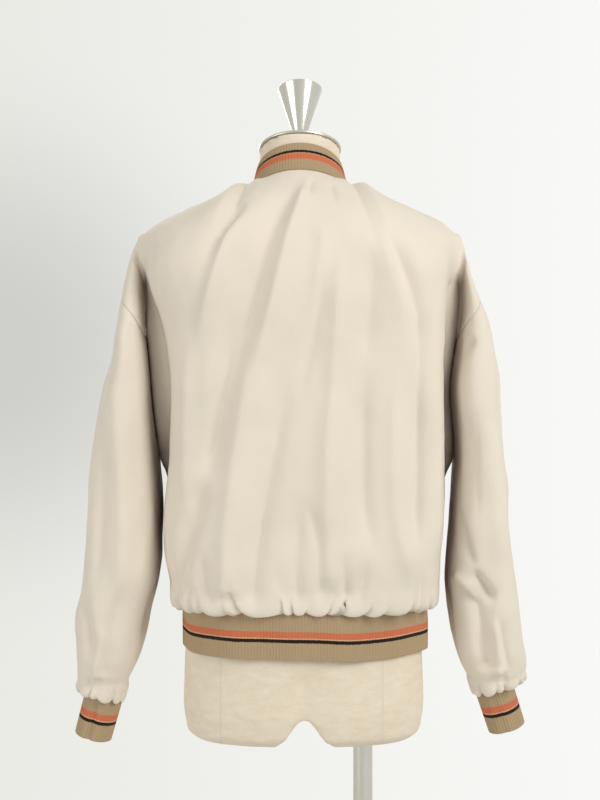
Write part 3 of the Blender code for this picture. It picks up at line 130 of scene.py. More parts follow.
GROOVE_DEPTH = 0.0060
GROOVE_WIDTH = 0.0160
GROOVE_TOP_Z = 0.7400
GROOVE_FADE = 0.0500


def table(names, *rows):
    """A small table: a dictionary of columns, from rows of numbers."""
    columns = names.split()
    return {name: np.array([row[i] for row in rows], float) for i, name in enumerate(columns)}


# Low down, the left side is up to 8 mm fuller than the solid's, as the photograph shows it.
BODY = table(
    "z       left    right   back    front",
    (0.8300, 0.1800, 0.1915, 0.1240, 0.1180),
    (0.8650, 0.1860, 0.1925, 0.1270, 0.1220),
    (0.9100, 0.1882, 0.1965, 0.1265, 0.1240),
    (1.0000, 0.1800, 0.1990, 0.1245, 0.1270),
    (1.0800, 0.1765, 0.1972, 0.1250, 0.1320),
    (1.1500, 0.1810, 0.1978, 0.1275, 0.1330),
    (1.1900, 0.1893, 0.1998, 0.1285, 0.1300),
    (1.2400, 0.2069, 0.2028, 0.1280, 0.1240),
    (1.3000, 0.2140, 0.2100, 0.1250, 0.1180),
)
ARM_LEFT = table(
    "z       inner   outer   deep    middle",
    (0.6900, 0.2400, 0.3105, 0.0430, 0.000),
    (0.7120, 0.2290, 0.3110, 0.0540, 0.000),
    (0.7410, 0.2190, 0.3122, 0.0610, 0.000),
    (0.7840, 0.2100, 0.3130, 0.0660, 0.001),
    (0.8126, 0.2020, 0.3060, 0.0680, 0.001),
    (0.8610, 0.1918, 0.3005, 0.0710, 0.002),
    (0.9000, 0.1912, 0.2975, 0.0740, 0.002),
    (0.9340, 0.1915, 0.2940, 0.0770, 0.001),
    (1.0000, 0.1967, 0.2856, 0.0840, 0.000),
    (1.0760, 0.2042, 0.2730, 0.0890, 0.000),
    (1.1280, 0.2078, 0.2600, 0.0880, 0.000),
    (1.1800, 0.2120, 0.2525, 0.0800, 0.000),
    (1.2150, 0.2120, 0.2475, 0.0680, 0.000),
    (1.2450, 0.2135, 0.2425, 0.0540, 0.000),
    (1.2800, 0.2160, 0.2350, 0.0330, 0.000),
    (1.3040, 0.2190, 0.2280, 0.0120, 0.000),
)
ARM_RIGHT = table(
    "z       inner   outer   deep    middle",
    (0.6950, 0.2340, 0.3130, 0.0460, 0.000),
    (0.7150, 0.2240, 0.3150, 0.0570, 0.000),
    (0.7550, 0.2120, 0.3085, 0.0640, 0.000),
    (0.7920, 0.2060, 0.3046, 0.0680, 0.001),
    (0.8280, 0.2030, 0.3000, 0.0700, 0.001),
    (0.8570, 0.2040, 0.2954, 0.0720, 0.002),
    (0.9000, 0.2080, 0.2898, 0.0750, 0.002),
    (0.9640, 0.2125, 0.2856, 0.0800, 0.001),
    (1.0000, 0.2150, 0.2790, 0.0840, 0.000),
    (1.0360, 0.2125, 0.2760, 0.0870, 0.000),
    (1.0910, 0.2065, 0.2730, 0.0890, 0.000),
    (1.1500, 0.2130, 0.2670, 0.0860, 0.000),
    (1.1900, 0.2185, 0.2590, 0.0780, 0.000),
    (1.2230, 0.2205, 0.2464, 0.0660, 0.000),
    (1.2500, 0.2205, 0.2380, 0.0520, 0.000),
    (1.2830, 0.2195, 0.2310, 0.0300, 0.000),
    (1.3040, 0.2195, 0.2270, 0.0120, 0.000),
)
PASSAGE = table(
    "z       half",
    (1.0030, 0.0000),
    (1.0300, 0.0110),
    (1.0600, 0.0170),
    (1.1000, 0.0220),
    (1.1650, 0.0260),
    (1.2100, 0.0250),
    (1.2500, 0.0230),
    (1.2800, 0.0170),
    (1.3040, 0.0060),
)
SHOULDER = table(
    "x       z",
    (0.0660, 1.3650),
    (0.1000, 1.3620),
    (0.1260, 1.3560),
    (0.1710, 1.3395),
    (0.2000, 1.3260),
    (0.2140, 1.3150),
    (0.2235, 1.3040),
)
TURN_BACK = table(
    "across  height  degrees",
    (0.0000, 0.1250, 42.0),
    (0.2200, 0.1150, 100.0),
    (0.3000, 0.1100, 110.0),
    (0.4500, 0.1000, 94.0),
    (0.7500, 0.0800, 86.0),
    (1.0000, 0.0400, 86.0),
)
TURN_FRONT = table(
    "across  height  degrees",
    (0.0000, 0.1300, 48.0),
    (0.2200, 0.1300, 66.0),
    (0.4000, 0.1150, 84.0),
    (0.7500, 0.0850, 86.0),
    (1.0000, 0.0400, 86.0),
)
FORM = table(
    "z       side    back    front   square",
    (0.6150, 0.1480, 0.0800, 0.0740, 2.6),
    (0.6220, 0.1580, 0.0900, 0.0840, 2.6),
    (0.6400, 0.1640, 0.0970, 0.0900, 2.5),
    (0.7000, 0.1660, 0.1030, 0.0950, 2.4),
    (0.7600, 0.1630, 0.1050, 0.0980, 2.3),
    (0.8100, 0.1600, 0.1010, 0.0960, 2.3),
    (0.8800, 0.1450, 0.0900, 0.0900, 2.2),
    (0.9700, 0.1335, 0.0845, 0.0890, 2.2),
    (1.0800, 0.1480, 0.0940, 0.1010, 2.3),
    (1.2000, 0.1640, 0.0990, 0.1020, 2.4),
    (1.2600, 0.1760, 0.0950, 0.0900, 2.4),
    (1.2900, 0.1830, 0.0880, 0.0780, 2.3),
    (1.3100, 0.1720, 0.0780, 0.0680, 2.2),
    (1.3300, 0.1380, 0.0680, 0.0600, 2.1),
    (1.3450, 0.0850, 0.0570, 0.0500, 2.0),
    (1.3600, 0.0600, 0.0530, 0.0500, 2.0),
    (1.3850, 0.0552, 0.0548, 0.0530, 2.0),
    (1.4000, 0.0556, 0.0554, 0.0540, 2.0),
    (1.4279, 0.0562, 0.0562, 0.0556, 2.0),
)
ARCH = table(
    "half    height",
    (0.0440, -0.0100),
    (0.0390, 0.0000),
    (0.0260, 0.0110),
    (0.0180, 0.0230),
    (0.0110, 0.0330),
    (0.0040, 0.0395),
)
CUFFS = {
    +1: {"mouth": (0.2890, 0.6120), "lean": math.radians(15), "arm": ARM_LEFT, "name": "left"},
    -1: {"mouth": (0.2890, 0.6240), "lean": math.radians(18), "arm": ARM_RIGHT, "name": "right"},
}

# ---------------------------------------------------------------- folds of the cloth
# Each fold runs through four points, across and up, with its width and how far it stands
# out (or in, if negative). fade is the share of its length over which it grows at its top,
# and end the share over which it dies at its foot.
FOLD_COLUMNS = "x0 z0 x1 z1 x2 z2 x3 z3 width out fade end"
BACK_FOLDS = table(
    FOLD_COLUMNS,
    (0.052, 1.344, 0.080, 1.312, 0.104, 1.268, 0.140, 1.140, 0.012, 0.0085, 0.35, 0.45),
    (0.070, 1.346, 0.090, 1.318, 0.106, 1.288, 0.121, 1.255, 0.009, -0.0050, 0.25, 0.50),
    (-0.010, 1.372, 0.013, 1.305, 0.028, 1.250, 0.066, 1.090, 0.012, 0.0085, 0.10, 0.45),
    (0.008, 1.362, 0.034, 1.300, 0.050, 1.235, 0.100, 1.060, 0.013, -0.0085, 0.15, 0.40),
    (-0.016, 1.378, -0.014, 1.365, -0.012, 1.352, -0.010, 1.335, 0.004, -0.0028, 0.10, 0.60),
    (-0.043, 1.373, -0.045, 1.362, -0.047, 1.352, -0.050, 1.335, 0.004, -0.0030, 0.10, 0.60),
    (-0.030, 1.325, -0.028, 1.285, -0.022, 1.240, -0.010, 1.165, 0.012, 0.0035, 0.30, 0.45),
    (-0.033, 1.268, -0.030, 1.235, -0.018, 1.170, 0.006, 1.060, 0.011, -0.0045, 0.35, 0.45),
    (-0.052, 1.290, -0.050, 1.230, -0.044, 1.140, -0.034, 1.000, 0.015, 0.0060, 0.30, 0.50),
    (-0.090, 1.300, -0.094, 1.250, -0.092, 1.190, -0.084, 1.090, 0.015, -0.0052, 0.30, 0.40),
    (-0.106, 1.325, -0.132, 1.265, -0.155, 1.190, -0.162, 1.080, 0.012, -0.0078, 0.30, 0.35),
    (-0.100, 1.310, -0.120, 1.255, -0.136, 1.180, -0.128, 1.060, 0.014, 0.0045, 0.25, 0.45),
    (0.080, 1.205, 0.102, 1.090, 0.119, 1.000, 0.125, 0.955, 0.016, -0.0100, 0.35, 0.30),
    (0.121, 0.985, 0.136, 0.930, 0.154, 0.870, 0.166, 0.815, 0.014, -0.0085, 0.25, 0.10),
    (0.056, 1.200, 0.080, 1.045, 0.094, 0.930, 0.100, 0.815, 0.020, 0.0070, 0.35, 0.05),
    (0.010, 1.130, 0.032, 1.020, 0.052, 0.910, 0.063, 0.808, 0.015, -0.0088, 0.35, 0.00),
    (-0.046, 1.130, -0.036, 1.030, -0.034, 0.930, -0.036, 0.825, 0.019, 0.0072, 0.35, 0.10),
    (-0.003, 0.960, 0.002, 0.915, 0.004, 0.870, 0.004, 0.808, 0.010, -0.0050, 0.40, 0.00),
    (-0.004, 0.950, -0.014, 0.930, -0.024, 0.895, -0.029, 0.812, 0.009, -0.0040, 0.30, 0.00),
    (-0.084, 1.150, -0.084, 1.050, -0.087, 0.930, -0.105, 0.868, 0.014, -0.0075, 0.35, 0.25),
    (-0.059, 0.890, -0.058, 0.860, -0.060, 0.835, -0.062, 0.808, 0.009, -0.0050, 0.50, 0.00),
    (-0.088, 0.878, -0.085, 0.850, -0.081, 0.830, -0.078, 0.808, 0.009, -0.0050, 0.50, 0.00),
    (-0.126, 1.140, -0.121, 1.030, -0.126, 0.920, -0.148, 0.830, 0.014, 0.0065, 0.35, 0.15),
    (-0.161, 1.150, -0.160, 1.060, -0.160, 0.960, -0.154, 0.868, 0.013, -0.0105, 0.30, 0.25),
    (-0.179, 1.120, -0.183, 1.020, -0.182, 0.930, -0.178, 0.850, 0.010, 0.0040, 0.30, 0.20),
    (0.146, 1.180, 0.150, 1.080, 0.150, 1.010, 0.155, 0.900, 0.014, 0.0050, 0.35, 0.30),
    (0.164, 0.930, 0.168, 0.890, 0.168, 0.850, 0.166, 0.815, 0.010, 0.0040, 0.35, 0.10),
    (0.128, 0.890, 0.125, 0.855, 0.121, 0.830, 0.118, 0.806, 0.009, -0.0050, 0.50, 0.00),
)
FRONT_FOLDS = table(
    FOLD_COLUMNS,
    (0.062, 1.345, 0.080, 1.290, 0.096, 1.220, 0.108, 1.120, 0.012, 0.0050, 0.20, 0.35),
    (0.088, 1.335, 0.112, 1.265, 0.135, 1.170, 0.146, 1.060, 0.013, -0.0065, 0.20, 0.30),
    (0.045, 1.240, 0.056, 1.120, 0.066, 0.980, 0.076, 0.812, 0.015, -0.0065, 0.30, 0.00),
    (0.094, 1.140, 0.101, 1.040, 0.108, 0.920, 0.112, 0.820, 0.019, 0.0060, 0.25, 0.05),
    (0.142, 1.060, 0.147, 0.980, 0.148, 0.900, 0.146, 0.812, 0.014, -0.0080, 0.25, 0.00),
    (0.030, 0.960, 0.034, 0.920, 0.036, 0.870, 0.038, 0.810, 0.010, -0.0040, 0.40, 0.00),
    (-0.058, 1.345, -0.074, 1.290, -0.090, 1.225, -0.104, 1.130, 0.012, 0.0045, 0.20, 0.35),
    (-0.090, 1.335, -0.118, 1.270, -0.140, 1.180, -0.154, 1.080, 0.013, -0.0065, 0.20, 0.30),
    (-0.050, 1.220, -0.062, 1.110, -0.075, 0.970, -0.088, 0.812, 0.015, -0.0060, 0.30, 0.00),
    (-0.104, 1.150, -0.114, 1.050, -0.121, 0.920, -0.126, 0.820, 0.018, 0.0060, 0.25, 0.05),
    (-0.156, 1.070, -0.161, 0.990, -0.162, 0.900, -0.158, 0.812, 0.014, -0.0080, 0.25, 0.00),
    (-0.028, 0.930, -0.030, 0.890, -0.034, 0.850, -0.036, 0.810, 0.009, -0.0038, 0.40, 0.00),
)
# Sleeve folds are seen from behind or from the front (across is x), or from the outer or
# inner side (across is y).
SLEEVE_BACK_LEFT = table(
    FOLD_COLUMNS,
    (0.268, 1.060, 0.268, 0.960, 0.272, 0.880, 0.276, 0.810, 0.012, -0.0060, 0.30, 0.30),
    (0.296, 0.822, 0.290, 0.790, 0.284, 0.750, 0.292, 0.722, 0.009, -0.0065, 0.20, 0.35),
    (0.246, 1.110, 0.240, 1.000, 0.238, 0.900, 0.250, 0.780, 0.016, 0.0050, 0.25, 0.30),
    (0.222, 1.060, 0.216, 0.980, 0.214, 0.900, 0.222, 0.830, 0.010, -0.0045, 0.30, 0.30),
    (0.238, 0.840, 0.250, 0.790, 0.262, 0.740, 0.268, 0.700, 0.011, -0.0045, 0.30, 0.10),
    (0.232, 1.205, 0.226, 1.160, 0.224, 1.110, 0.226, 1.050, 0.009, -0.0035, 0.20, 0.40),
    (0.262, 0.780, 0.268, 0.750, 0.274, 0.725, 0.280, 0.698, 0.009, 0.0040, 0.30, 0.10),
)
SLEEVE_BACK_RIGHT = table(
    FOLD_COLUMNS,
    (-0.233, 1.163, -0.222, 1.150, -0.214, 1.142, -0.206, 1.136, 0.005, -0.0045, 0.20, 0.30),
    (-0.207, 0.950, -0.216, 0.920, -0.226, 0.885, -0.236, 0.850, 0.006, -0.0048, 0.30, 0.30),
    (-0.206, 0.852, -0.218, 0.836, -0.228, 0.822, -0.240, 0.802, 0.007, 0.0055, 0.25, 0.25),
    (-0.230, 0.852, -0.242, 0.838, -0.256, 0.820, -0.268, 0.806, 0.007, -0.0080, 0.25, 0.25),
    (-0.230, 0.838, -0.238, 0.790, -0.246, 0.745, -0.252, 0.706, 0.020, -0.0120, 0.25, 0.10),
    (-0.262, 0.790, -0.266, 0.760, -0.270, 0.730, -0.273, 0.704, 0.008, 0.0065, 0.30, 0.10),
    (-0.262, 1.060, -0.262, 0.980, -0.264, 0.900, -0.270, 0.840, 0.013, 0.0045, 0.30, 0.30),
    (-0.236, 1.080, -0.234, 1.010, -0.236, 0.950, -0.240, 0.900, 0.013, -0.0040, 0.30, 0.30),
    (-0.272, 0.790, -0.276, 0.760, -0.282, 0.730, -0.286, 0.704, 0.009, -0.0040, 0.30, 0.10),
)
SLEEVE_FRONT = table(
    FOLD_COLUMNS,
    (0.236, 1.140, 0.232, 1.060, 0.226, 0.980, 0.220, 0.900, 0.012, -0.0055, 0.25, 0.30),
    (0.262, 1.090, 0.260, 1.000, 0.256, 0.920, 0.250, 0.850, 0.014, 0.0050, 0.25, 0.30),
    (0.216, 0.960, 0.228, 0.930, 0.240, 0.905, 0.254, 0.885, 0.008, -0.0050, 0.25, 0.30),
    (0.214, 0.925, 0.226, 0.892, 0.240, 0.868, 0.256, 0.850, 0.008, -0.0045, 0.25, 0.30),
    (0.276, 0.900, 0.276, 0.850, 0.280, 0.800, 0.286, 0.750, 0.011, -0.0050, 0.30, 0.30),
    (0.244, 0.810, 0.254, 0.770, 0.264, 0.735, 0.272, 0.700, 0.010, -0.0045, 0.30, 0.10),
)
SLEEVE_OUTER = table(
    FOLD_COLUMNS,
    (0.016, 1.180, 0.020, 1.080, 0.014, 0.980, 0.004, 0.900, 0.014, 0.0040, 0.30, 0.30),
    (-0.020, 1.120, -0.024, 1.030, -0.018, 0.950, -0.010, 0.880, 0.012, -0.0050, 0.30, 0.30),
    (0.030, 0.930, 0.022, 0.880, 0.012, 0.830, 0.006, 0.780, 0.010, -0.0055, 0.30, 0.30),
    (-0.026, 0.860, -0.016, 0.810, -0.008, 0.760, -0.002, 0.705, 0.010, -0.0045, 0.30, 0.10),
)
SLEEVE_INNER = table(
    FOLD_COLUMNS,
    (0.010, 0.960, 0.006, 0.920, -0.004, 0.880, -0.016, 0.850, 0.010, -0.0045, 0.30, 0.30),
    (-0.018, 0.900, -0.008, 0.850, 0.004, 0.800, 0.010, 0.740, 0.011, -0.0050, 0.30, 0.20),
    (0.030, 0.840, 0.024, 0.800, 0.018, 0.760, 0.012, 0.715, 0.009, -0.0040, 0.30, 0.10),
)
# Where the body is pinched into the hem band, as a way round the seam from the centre back
# (wearer's left positive), with how hard each pinch pulls in and how far the cloth between
# it and the next one hangs down, both from 0 to 1.
NOTCHES = table(
    "way     pinch  hang",
    (-0.440, 0.60, 0.50), (-0.411, 0.35, 0.80), (-0.379, 0.80, 0.45), (-0.351, 0.45, 0.70),
    (-0.323, 0.70, 0.55), (-0.288, 0.35, 0.90), (-0.262, 0.85, 0.40), (-0.229, 0.45, 0.75),
    (-0.204, 0.65, 0.55), (-0.171, 0.85, 0.35), (-0.158, 0.55, 0.75), (-0.146, 0.95, 0.15),
    (-0.137, 0.60, 0.80), (-0.091, 0.25, 0.95), (-0.068, 0.35, 0.70), (-0.037, 0.95, 0.10),
    (-0.030, 0.70, 0.15), (-0.024, 1.00, 0.45), (-0.003, 0.60, 0.15), (0.004, 0.85, 0.10),
    (0.011, 0.60, 0.80), (0.065, 0.95, 0.50), (0.075, 0.30, 0.90), (0.118, 0.55, 0.45),
    (0.130, 0.80, 0.75), (0.152, 0.50, 0.15), (0.159, 0.95, 0.60), (0.176, 0.60, 0.30),
    (0.199, 0.75, 0.60), (0.232, 0.40, 0.80), (0.258, 0.85, 0.45), (0.292, 0.45, 0.70),
    (0.322, 0.70, 0.55), (0.349, 0.35, 0.85), (0.384, 0.80, 0.40), (0.412, 0.40, 0.75),
    (0.443, 0.65, 0.50),
)
# The same round a cuff, in degrees from its outer edge.
CUFF_NOTCHES = table(
    "way    pinch  hang",
    (-207, 0.60, 0.50), (-164, 0.80, 0.70), (-128, 0.45, 0.40), (-109, 0.75, 0.80),
    (-66, 0.40, 0.50), (-43, 0.85, 0.60), (-9, 0.50, 0.70), (24, 0.85, 0.30),
    (38, 0.55, 0.75), (74, 0.90, 0.25), (86, 0.50, 0.85), (124, 0.80, 0.55),
    (153, 0.45, 0.60), (188, 0.70, 0.50),
)

# Stripes of the bands, in millimetres up from the free edge: where each begins and ends.
STRIPES = {
    "hem_band": {"dark": (22.0, 26.8), "pale": (26.8, 28.2), "bright": (28.2, 36.6)},
    "cuff": {"dark": (22.8, 27.6), "pale": (27.6, 29.0), "bright": (29.0, 38.0)},
    "collar": {"dark": (10.3, 14.3), "pale": (14.3, 15.0), "bright": (15.0, 23.6)},
}


# ---------------------------------------------------------------- reading the tables
def read(rows, column, at, key="z"):
    """A smooth reading of a table's column, by cubic steps between its rows."""
    keys, values = rows[key], rows[column]
    slopes = np.gradient(values, keys)
    at = np.clip(at, keys[0], keys[-1])
    i = np.clip(np.searchsorted(keys, at, side="right") - 1, 0, len(keys) - 2)
    span = keys[i + 1] - keys[i]
    t = (at - keys[i]) / span
    near = (2 * t ** 3 - 3 * t ** 2 + 1) * values[i] + (t ** 3 - 2 * t ** 2 + t) * span * slopes[i]
    far = (3 * t ** 2 - 2 * t ** 3) * values[i + 1] + (t ** 3 - t ** 2) * span * slopes[i + 1]
    return near + far


def straight(rows, column, at, key="z"):
    return np.interp(at, rows[key], rows[column])


def ramp(value, low, high):
    """0 below low, 1 above high, and a smooth rise between them."""
    t = np.clip((value - low) / (high - low), 0.0, 1.0)
    return t * t * (3 - 2 * t)


def signed_power(value, power):
    return np.sign(value) * np.abs(value) ** power


def unit(vectors):
    length = np.linalg.norm(vectors, axis=-1, keepdims=True)
    return vectors / np.maximum(length, 1e-12)


def walked(points):
    """Length walked along a line of points, at each of them."""
    steps = np.linalg.norm(np.diff(points, axis=0), axis=1)
    return np.concatenate([[0.0], np.cumsum(steps)])


def level_line(x, y):
    """A line of points at one height."""
    return np.stack([x, y, 0 * x], axis=1)


def evenly(points, count, *others):
    """A line resampled evenly by length; other values along it are resampled with it."""
    way = walked(points)
    places = np.linspace(0.0, way[-1], count)
    line = np.stack([np.interp(places, way, points[:, i]) for i in range(3)], axis=1)
    return (line, *[np.interp(places, way, other) for other in others])


# ---------------------------------------------------------------- the garment's surface
def neck_plane(y):
    return NECK_SIDE_Z + NECK_SLOPE * y


def arm_point(side, turn, z):
    """A point on the arm's surface: turn is 0 at its outer edge, a quarter at its back."""
    arm = CUFFS[side]["arm"]
    inner, outer, deep = (read(arm, name, z) for name in ("inner", "outer", "deep"))
    power = 2 / ARM_SQUARENESS
    x = (inner + outer) / 2 + (outer - inner) / 2 * signed_power(np.cos(turn), power)
    y = read(arm, "middle", z) + deep * signed_power(np.sin(turn), power)
    return np.stack([side * x, y, z + 0 * x], axis=-1)


def passage_turn(side, z, face):
    """The turn at which the way into the arm begins, at this height."""
    share = np.minimum(1.0, straight(PASSAGE, "half", z) / read(CUFFS[side]["arm"], "deep", z))
    return (math.pi - np.arcsin(share ** (ARM_SQUARENESS / 2))) * face


def fold_bottom(side, z, face):
    """The bottom of the fold between body and arm, or the side seam below the underarm."""
    plain = read(BODY, "left" if side > 0 else "right", z)
    inner = np.abs(arm_point(side, passage_turn(side, z, face), z)[..., 0])
    share = ramp(z, UNDERARM_Z - ARMHOLE_MEET, UNDERARM_Z + 0.001)
    return plain + (inner - plain) * share, straight(PASSAGE, "half", z)


def section(side, face, across, z):
    """The body's outline at one height, from the centre line (0) to its side (1)."""
    wide = read(BODY, "left" if side > 0 else "right", z)
    deep = read(BODY, "back" if face > 0 else "front", z)
    side_x, side_y = fold_bottom(side, z, face)
    power = 2 / BODY_SQUARENESS
    angle = across * math.pi / 2
    start = 0.0 if face > 0 else FRONT_EDGE_X
    x = start + (wide - start) * np.sin(angle) ** power
    x = x + (side_x - wide) * np.maximum(0.0, (across - FOLD_TURN) / (1 - FOLD_TURN)) ** FOLD_BEND
    y = side_y + (deep - side_y) * np.maximum(0.0, np.cos(angle)) ** power
    return x, y


def top_end(side, face, across):
    """Where a column ends: on the neck seam, or on the shoulder line."""
    start = 0.0 if face > 0 else math.asin(FRONT_EDGE_X / NECK_HALF_WIDTH)
    angle = start + (math.pi / 2 - start) * np.minimum(1.0, across / NECK_SHARE)
    neck_y = face * NECK_HALF_DEPTH * np.cos(angle)
    neck = np.stack([side * NECK_HALF_WIDTH * np.sin(angle), neck_y, neck_plane(neck_y)], axis=-1)
    x = np.interp(across, [NECK_SHARE, FOLD_SHARE, 1.0],
                  [SHOULDER["x"][0], FOLD_EDGE_X, SHOULDER_TIP_X])
    line = np.stack([side * x, 0 * x, read(SHOULDER, "z", x, key="x")], axis=-1)
    return np.where((across <= NECK_SHARE)[..., None], neck, line)


def band_ring(side, face, across, out=0.0):
    """The outline of the hem band, which is also that of the seam above it."""
    angle = across * math.pi / 2
    power = 2 / HEM_SQUARENESS
    wide = HEM_HALF_WIDTH + side * HEM_CENTRE_X + out
    deep = (HEM_BACK_DEPTH if face > 0 else HEM_FRONT_DEPTH) + out
    start = 0.0 if face > 0 else FRONT_EDGE_X
    x = start + (wide - start) * np.sin(angle) ** power
    y = deep * np.maximum(0.0, np.cos(angle)) ** power
    return side * x, face * y


def body_point(side, face, across, up):
    """A point of the body above its blousing: up is 0 to 1 to the place where the cloth turns
    over, and 1 to 2 from there to the shoulder or the neck."""
    turn = TURN_BACK if face > 0 else TURN_FRONT
    end = top_end(side, face, across)
    turn_z = end[..., 2] - straight(turn, "height", across, key="across")
    low_z = HEM_SEAM_Z + BLOUSE_RISE
    z = low_z + (turn_z - low_z) * np.clip(up, 0.0, 1.0)
    x, y = section(side, face, across, z)
    full = np.radians(straight(turn, "degrees", across, key="across"))
    part = np.clip(up - 1, 0.0, 1.0) * full
    rise = np.sin(part) / np.sin(full)
    reach = (1 - np.cos(part)) / (1 - np.cos(full))
    sideways = TURN_RISE_SHARE * rise + (1 - TURN_RISE_SHARE) * reach
    point = np.stack([side * x, face * y, z], axis=-1)
    return point + (end - point) * np.stack([sideways, reach, rise], axis=-1)


def up_of_height(z):
    """The row value at which the last column of a panel has this height."""
    low_z = HEM_SEAM_Z + BLOUSE_RISE
    turn_z = SHOULDER_TIP_Z - straight(TURN_BACK, "height", 1.0, key="across")
    return (z - low_z) / (turn_z - low_z)


def seam_height(share):
    """The height of the armhole seam round the dropped shoulder, from the fold (0) out (1)."""
    return SEAM_TURN_Z + (SEAM_TOP_Z - SEAM_TURN_Z) * (1 - (1 - share) ** SEAM_CURVE)


def strip_point(side, face, share, up):
    """A point on the dropped shoulder and its turn round the arm, from the fold (0) to the
    outer edge (1), between the armhole seam and the shoulder line."""
    seam_up = up_of_height(SEAM_TURN_Z)
    lift = np.interp(up, [seam_up, 1.0, 2.0], [0.0, 3 / 8, 1.0])
    fold = body_point(side, face, np.ones_like(up), up)
    z = fold[..., 2] + (seam_height(share) - SEAM_TURN_Z) * (1 - lift)
    z = np.minimum(z, SHOULDER_TIP_Z)
    turn = np.abs(passage_turn(side, z, face)) * (1 - share) * face
    first = arm_point(side, passage_turn(side, fold[..., 2], face), fold[..., 2])
    return arm_point(side, turn, z) + (fold - first) * (1 - share)[..., None], turn


def cuff_frame(side):
    """Middle of the cuff's mouth, its axis upwards, and its outward direction across."""
    lean = CUFFS[side]["lean"]
    x, z = CUFFS[side]["mouth"]
    axis = np.array([-side * math.sin(lean), 0.0, math.cos(lean)])
    across = np.array([side * math.cos(lean), 0.0, math.sin(lean)])
    return np.array([side * x, 0.0, z]), axis, across


def cuff_ring(side, turn, along, out=0.0):
    """A point of the cuff's outline, at a distance along its axis from its mouth."""
    mouth, axis, across = cuff_frame(side)
    turn, along, out = np.broadcast_arrays(turn, along, out)
    ring = across * ((CUFF_HALF_WIDTH + out) * np.cos(turn))[..., None]
    ring = ring + np.array([0.0, 1.0, 0.0]) * ((CUFF_HALF_DEPTH + out) * np.sin(turn))[..., None]
    return mouth + axis * along[..., None] + ring


# ---------------------------------------------------------------- mesh building
def mesh_object(name, points, faces, uv=None, body=HELD):
    """A smooth mesh from points and faces, with flat cloth coordinates in metres if given."""
    mesh = bpy.data.meshes.new(name)
    mesh.from_pydata(np.asarray(points).tolist(), [], faces)
    if uv is not None:
        layer = mesh.uv_layers.new(name="cut")
        corners = np.empty(len(mesh.loops), int)
        mesh.loops.foreach_get("vertex_index", corners)
        layer.data.foreach_set("uv", np.asarray(uv)[corners].ravel())
    mesh.shade_smooth()
    made = bpy.data.objects.new(name, mesh)
    bpy.context.scene.collection.objects.link(made)
    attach(made, body)
    return made


@contextmanager
def editing(made):
    """A piece's mesh, open to be changed."""
    body = bmesh.new()
    body.from_mesh(made.data)
    yield body
    body.to_mesh(made.data)
    body.free()


def solid_object(*about, **how):
    """A closed piece, all its faces turned outwards."""
    made = mesh_object(*about, **how)
    with editing(made) as body:
        bmesh.ops.recalc_face_normals(body, faces=body.faces)
    return made


def grid_faces(index, closed=False):
    """Four-cornered faces over rows of point numbers. -1 marks a place with no point."""
    faces = []
    for low, high in zip(index[:-1], index[1:]):
        if closed:
            low, high = np.append(low, low[0]), np.append(high, high[0])
        ok = (low[:-1] >= 0) & (low[1:] >= 0) & (high[:-1] >= 0) & (high[1:] >= 0)
        quads = np.stack([low[:-1], low[1:], high[1:], high[:-1]], axis=1)[ok]
        faces += quads.tolist()
    return faces


def normals_of(points, faces):
    """Smooth directions at the points of a mesh of four-cornered faces."""
    quads = np.asarray(faces)
    a, b, c, d = (points[quads[:, i]] for i in range(4))
    across = np.cross(c - a, d - b)
    total = np.zeros_like(points)
    for i in range(4):
        np.add.at(total, quads[:, i], across)
    return unit(total)


# ---------------------------------------------------------------- folds
PATH_STEPS = 8               # between two of the points that a fold runs through
FOLD_LEAN = 0.28             # every other fold is steeper to its left, the rest to their right
FOLD_SHARPNESS = 1.6         # 2 is a round wave, and 1 a sharp edge
CREASE_SPREAD = 0.09         # how fast a crease widens as it runs up from a gather


def smooth_path(folds, i):
    """A fold's path through its four points, as an even curve."""
    points = np.array([[folds[f"x{k}"][i], folds[f"z{k}"][i]] for k in range(4)])
    held = np.vstack([2 * points[0] - points[1], points, 2 * points[-1] - points[-2]])
    path = []
    for k in range(1, 4):
        a, b, c, d = held[k - 1], held[k], held[k + 1], held[k + 2]
        for t in np.linspace(0, 1, PATH_STEPS, endpoint=(k == 3)):
            path.append(0.5 * (2 * b + (c - a) * t + (2 * a - 5 * b + 4 * c - d) * t ** 2
                               + (3 * b - a - 3 * c + d) * t ** 3))
    return np.array(path)


def fold_lift(folds, across, z):
    """How far a table of folds lifts the cloth at each place, seen flat on."""
    lift = np.zeros_like(z)
    for i in range(len(folds["out"])):
        path = smooth_path(folds, i)
        width = folds["width"][i]
        reach = 4 * width
        near = np.nonzero((across > path[:, 0].min() - reach) & (across < path[:, 0].max() + reach)
                          & (z > path[:, 1].min() - reach) & (z < path[:, 1].max() + reach))[0]
        if not len(near):
            continue
        place = np.stack([across[near], z[near]], axis=1)
        best = np.full(len(near), 1e9)
        along = np.zeros(len(near))
        beside = np.zeros(len(near))
        way = walked(path)
        for k in range(len(path) - 1):
            step = path[k + 1] - path[k]
            length = np.linalg.norm(step)
            t = np.clip((place - path[k]) @ step / length ** 2, 0, 1)
            gap = place - path[k] - t[:, None] * step
            distance = np.linalg.norm(gap, axis=1)
            closer = distance < best
            best = np.where(closer, distance, best)
            along = np.where(closer, way[k] + t * length, along)
            beside = np.where(closer, np.sign(step[0] * gap[:, 1] - step[1] * gap[:, 0]), beside)
        share = along / way[-1]
        fade = ramp(share, 0.0, max(folds["fade"][i], 0.01))
        if folds["end"][i] > 0:
            fade = fade * (1 - ramp(share, 1 - folds["end"][i], 1.0))
        lean = FOLD_LEAN if i % 2 else -FOLD_LEAN
        spread = width * (1 + lean * beside)
        lift[near] += folds["out"][i] * fade * np.exp(-(best / spread) ** FOLD_SHARPNESS)
    return lift


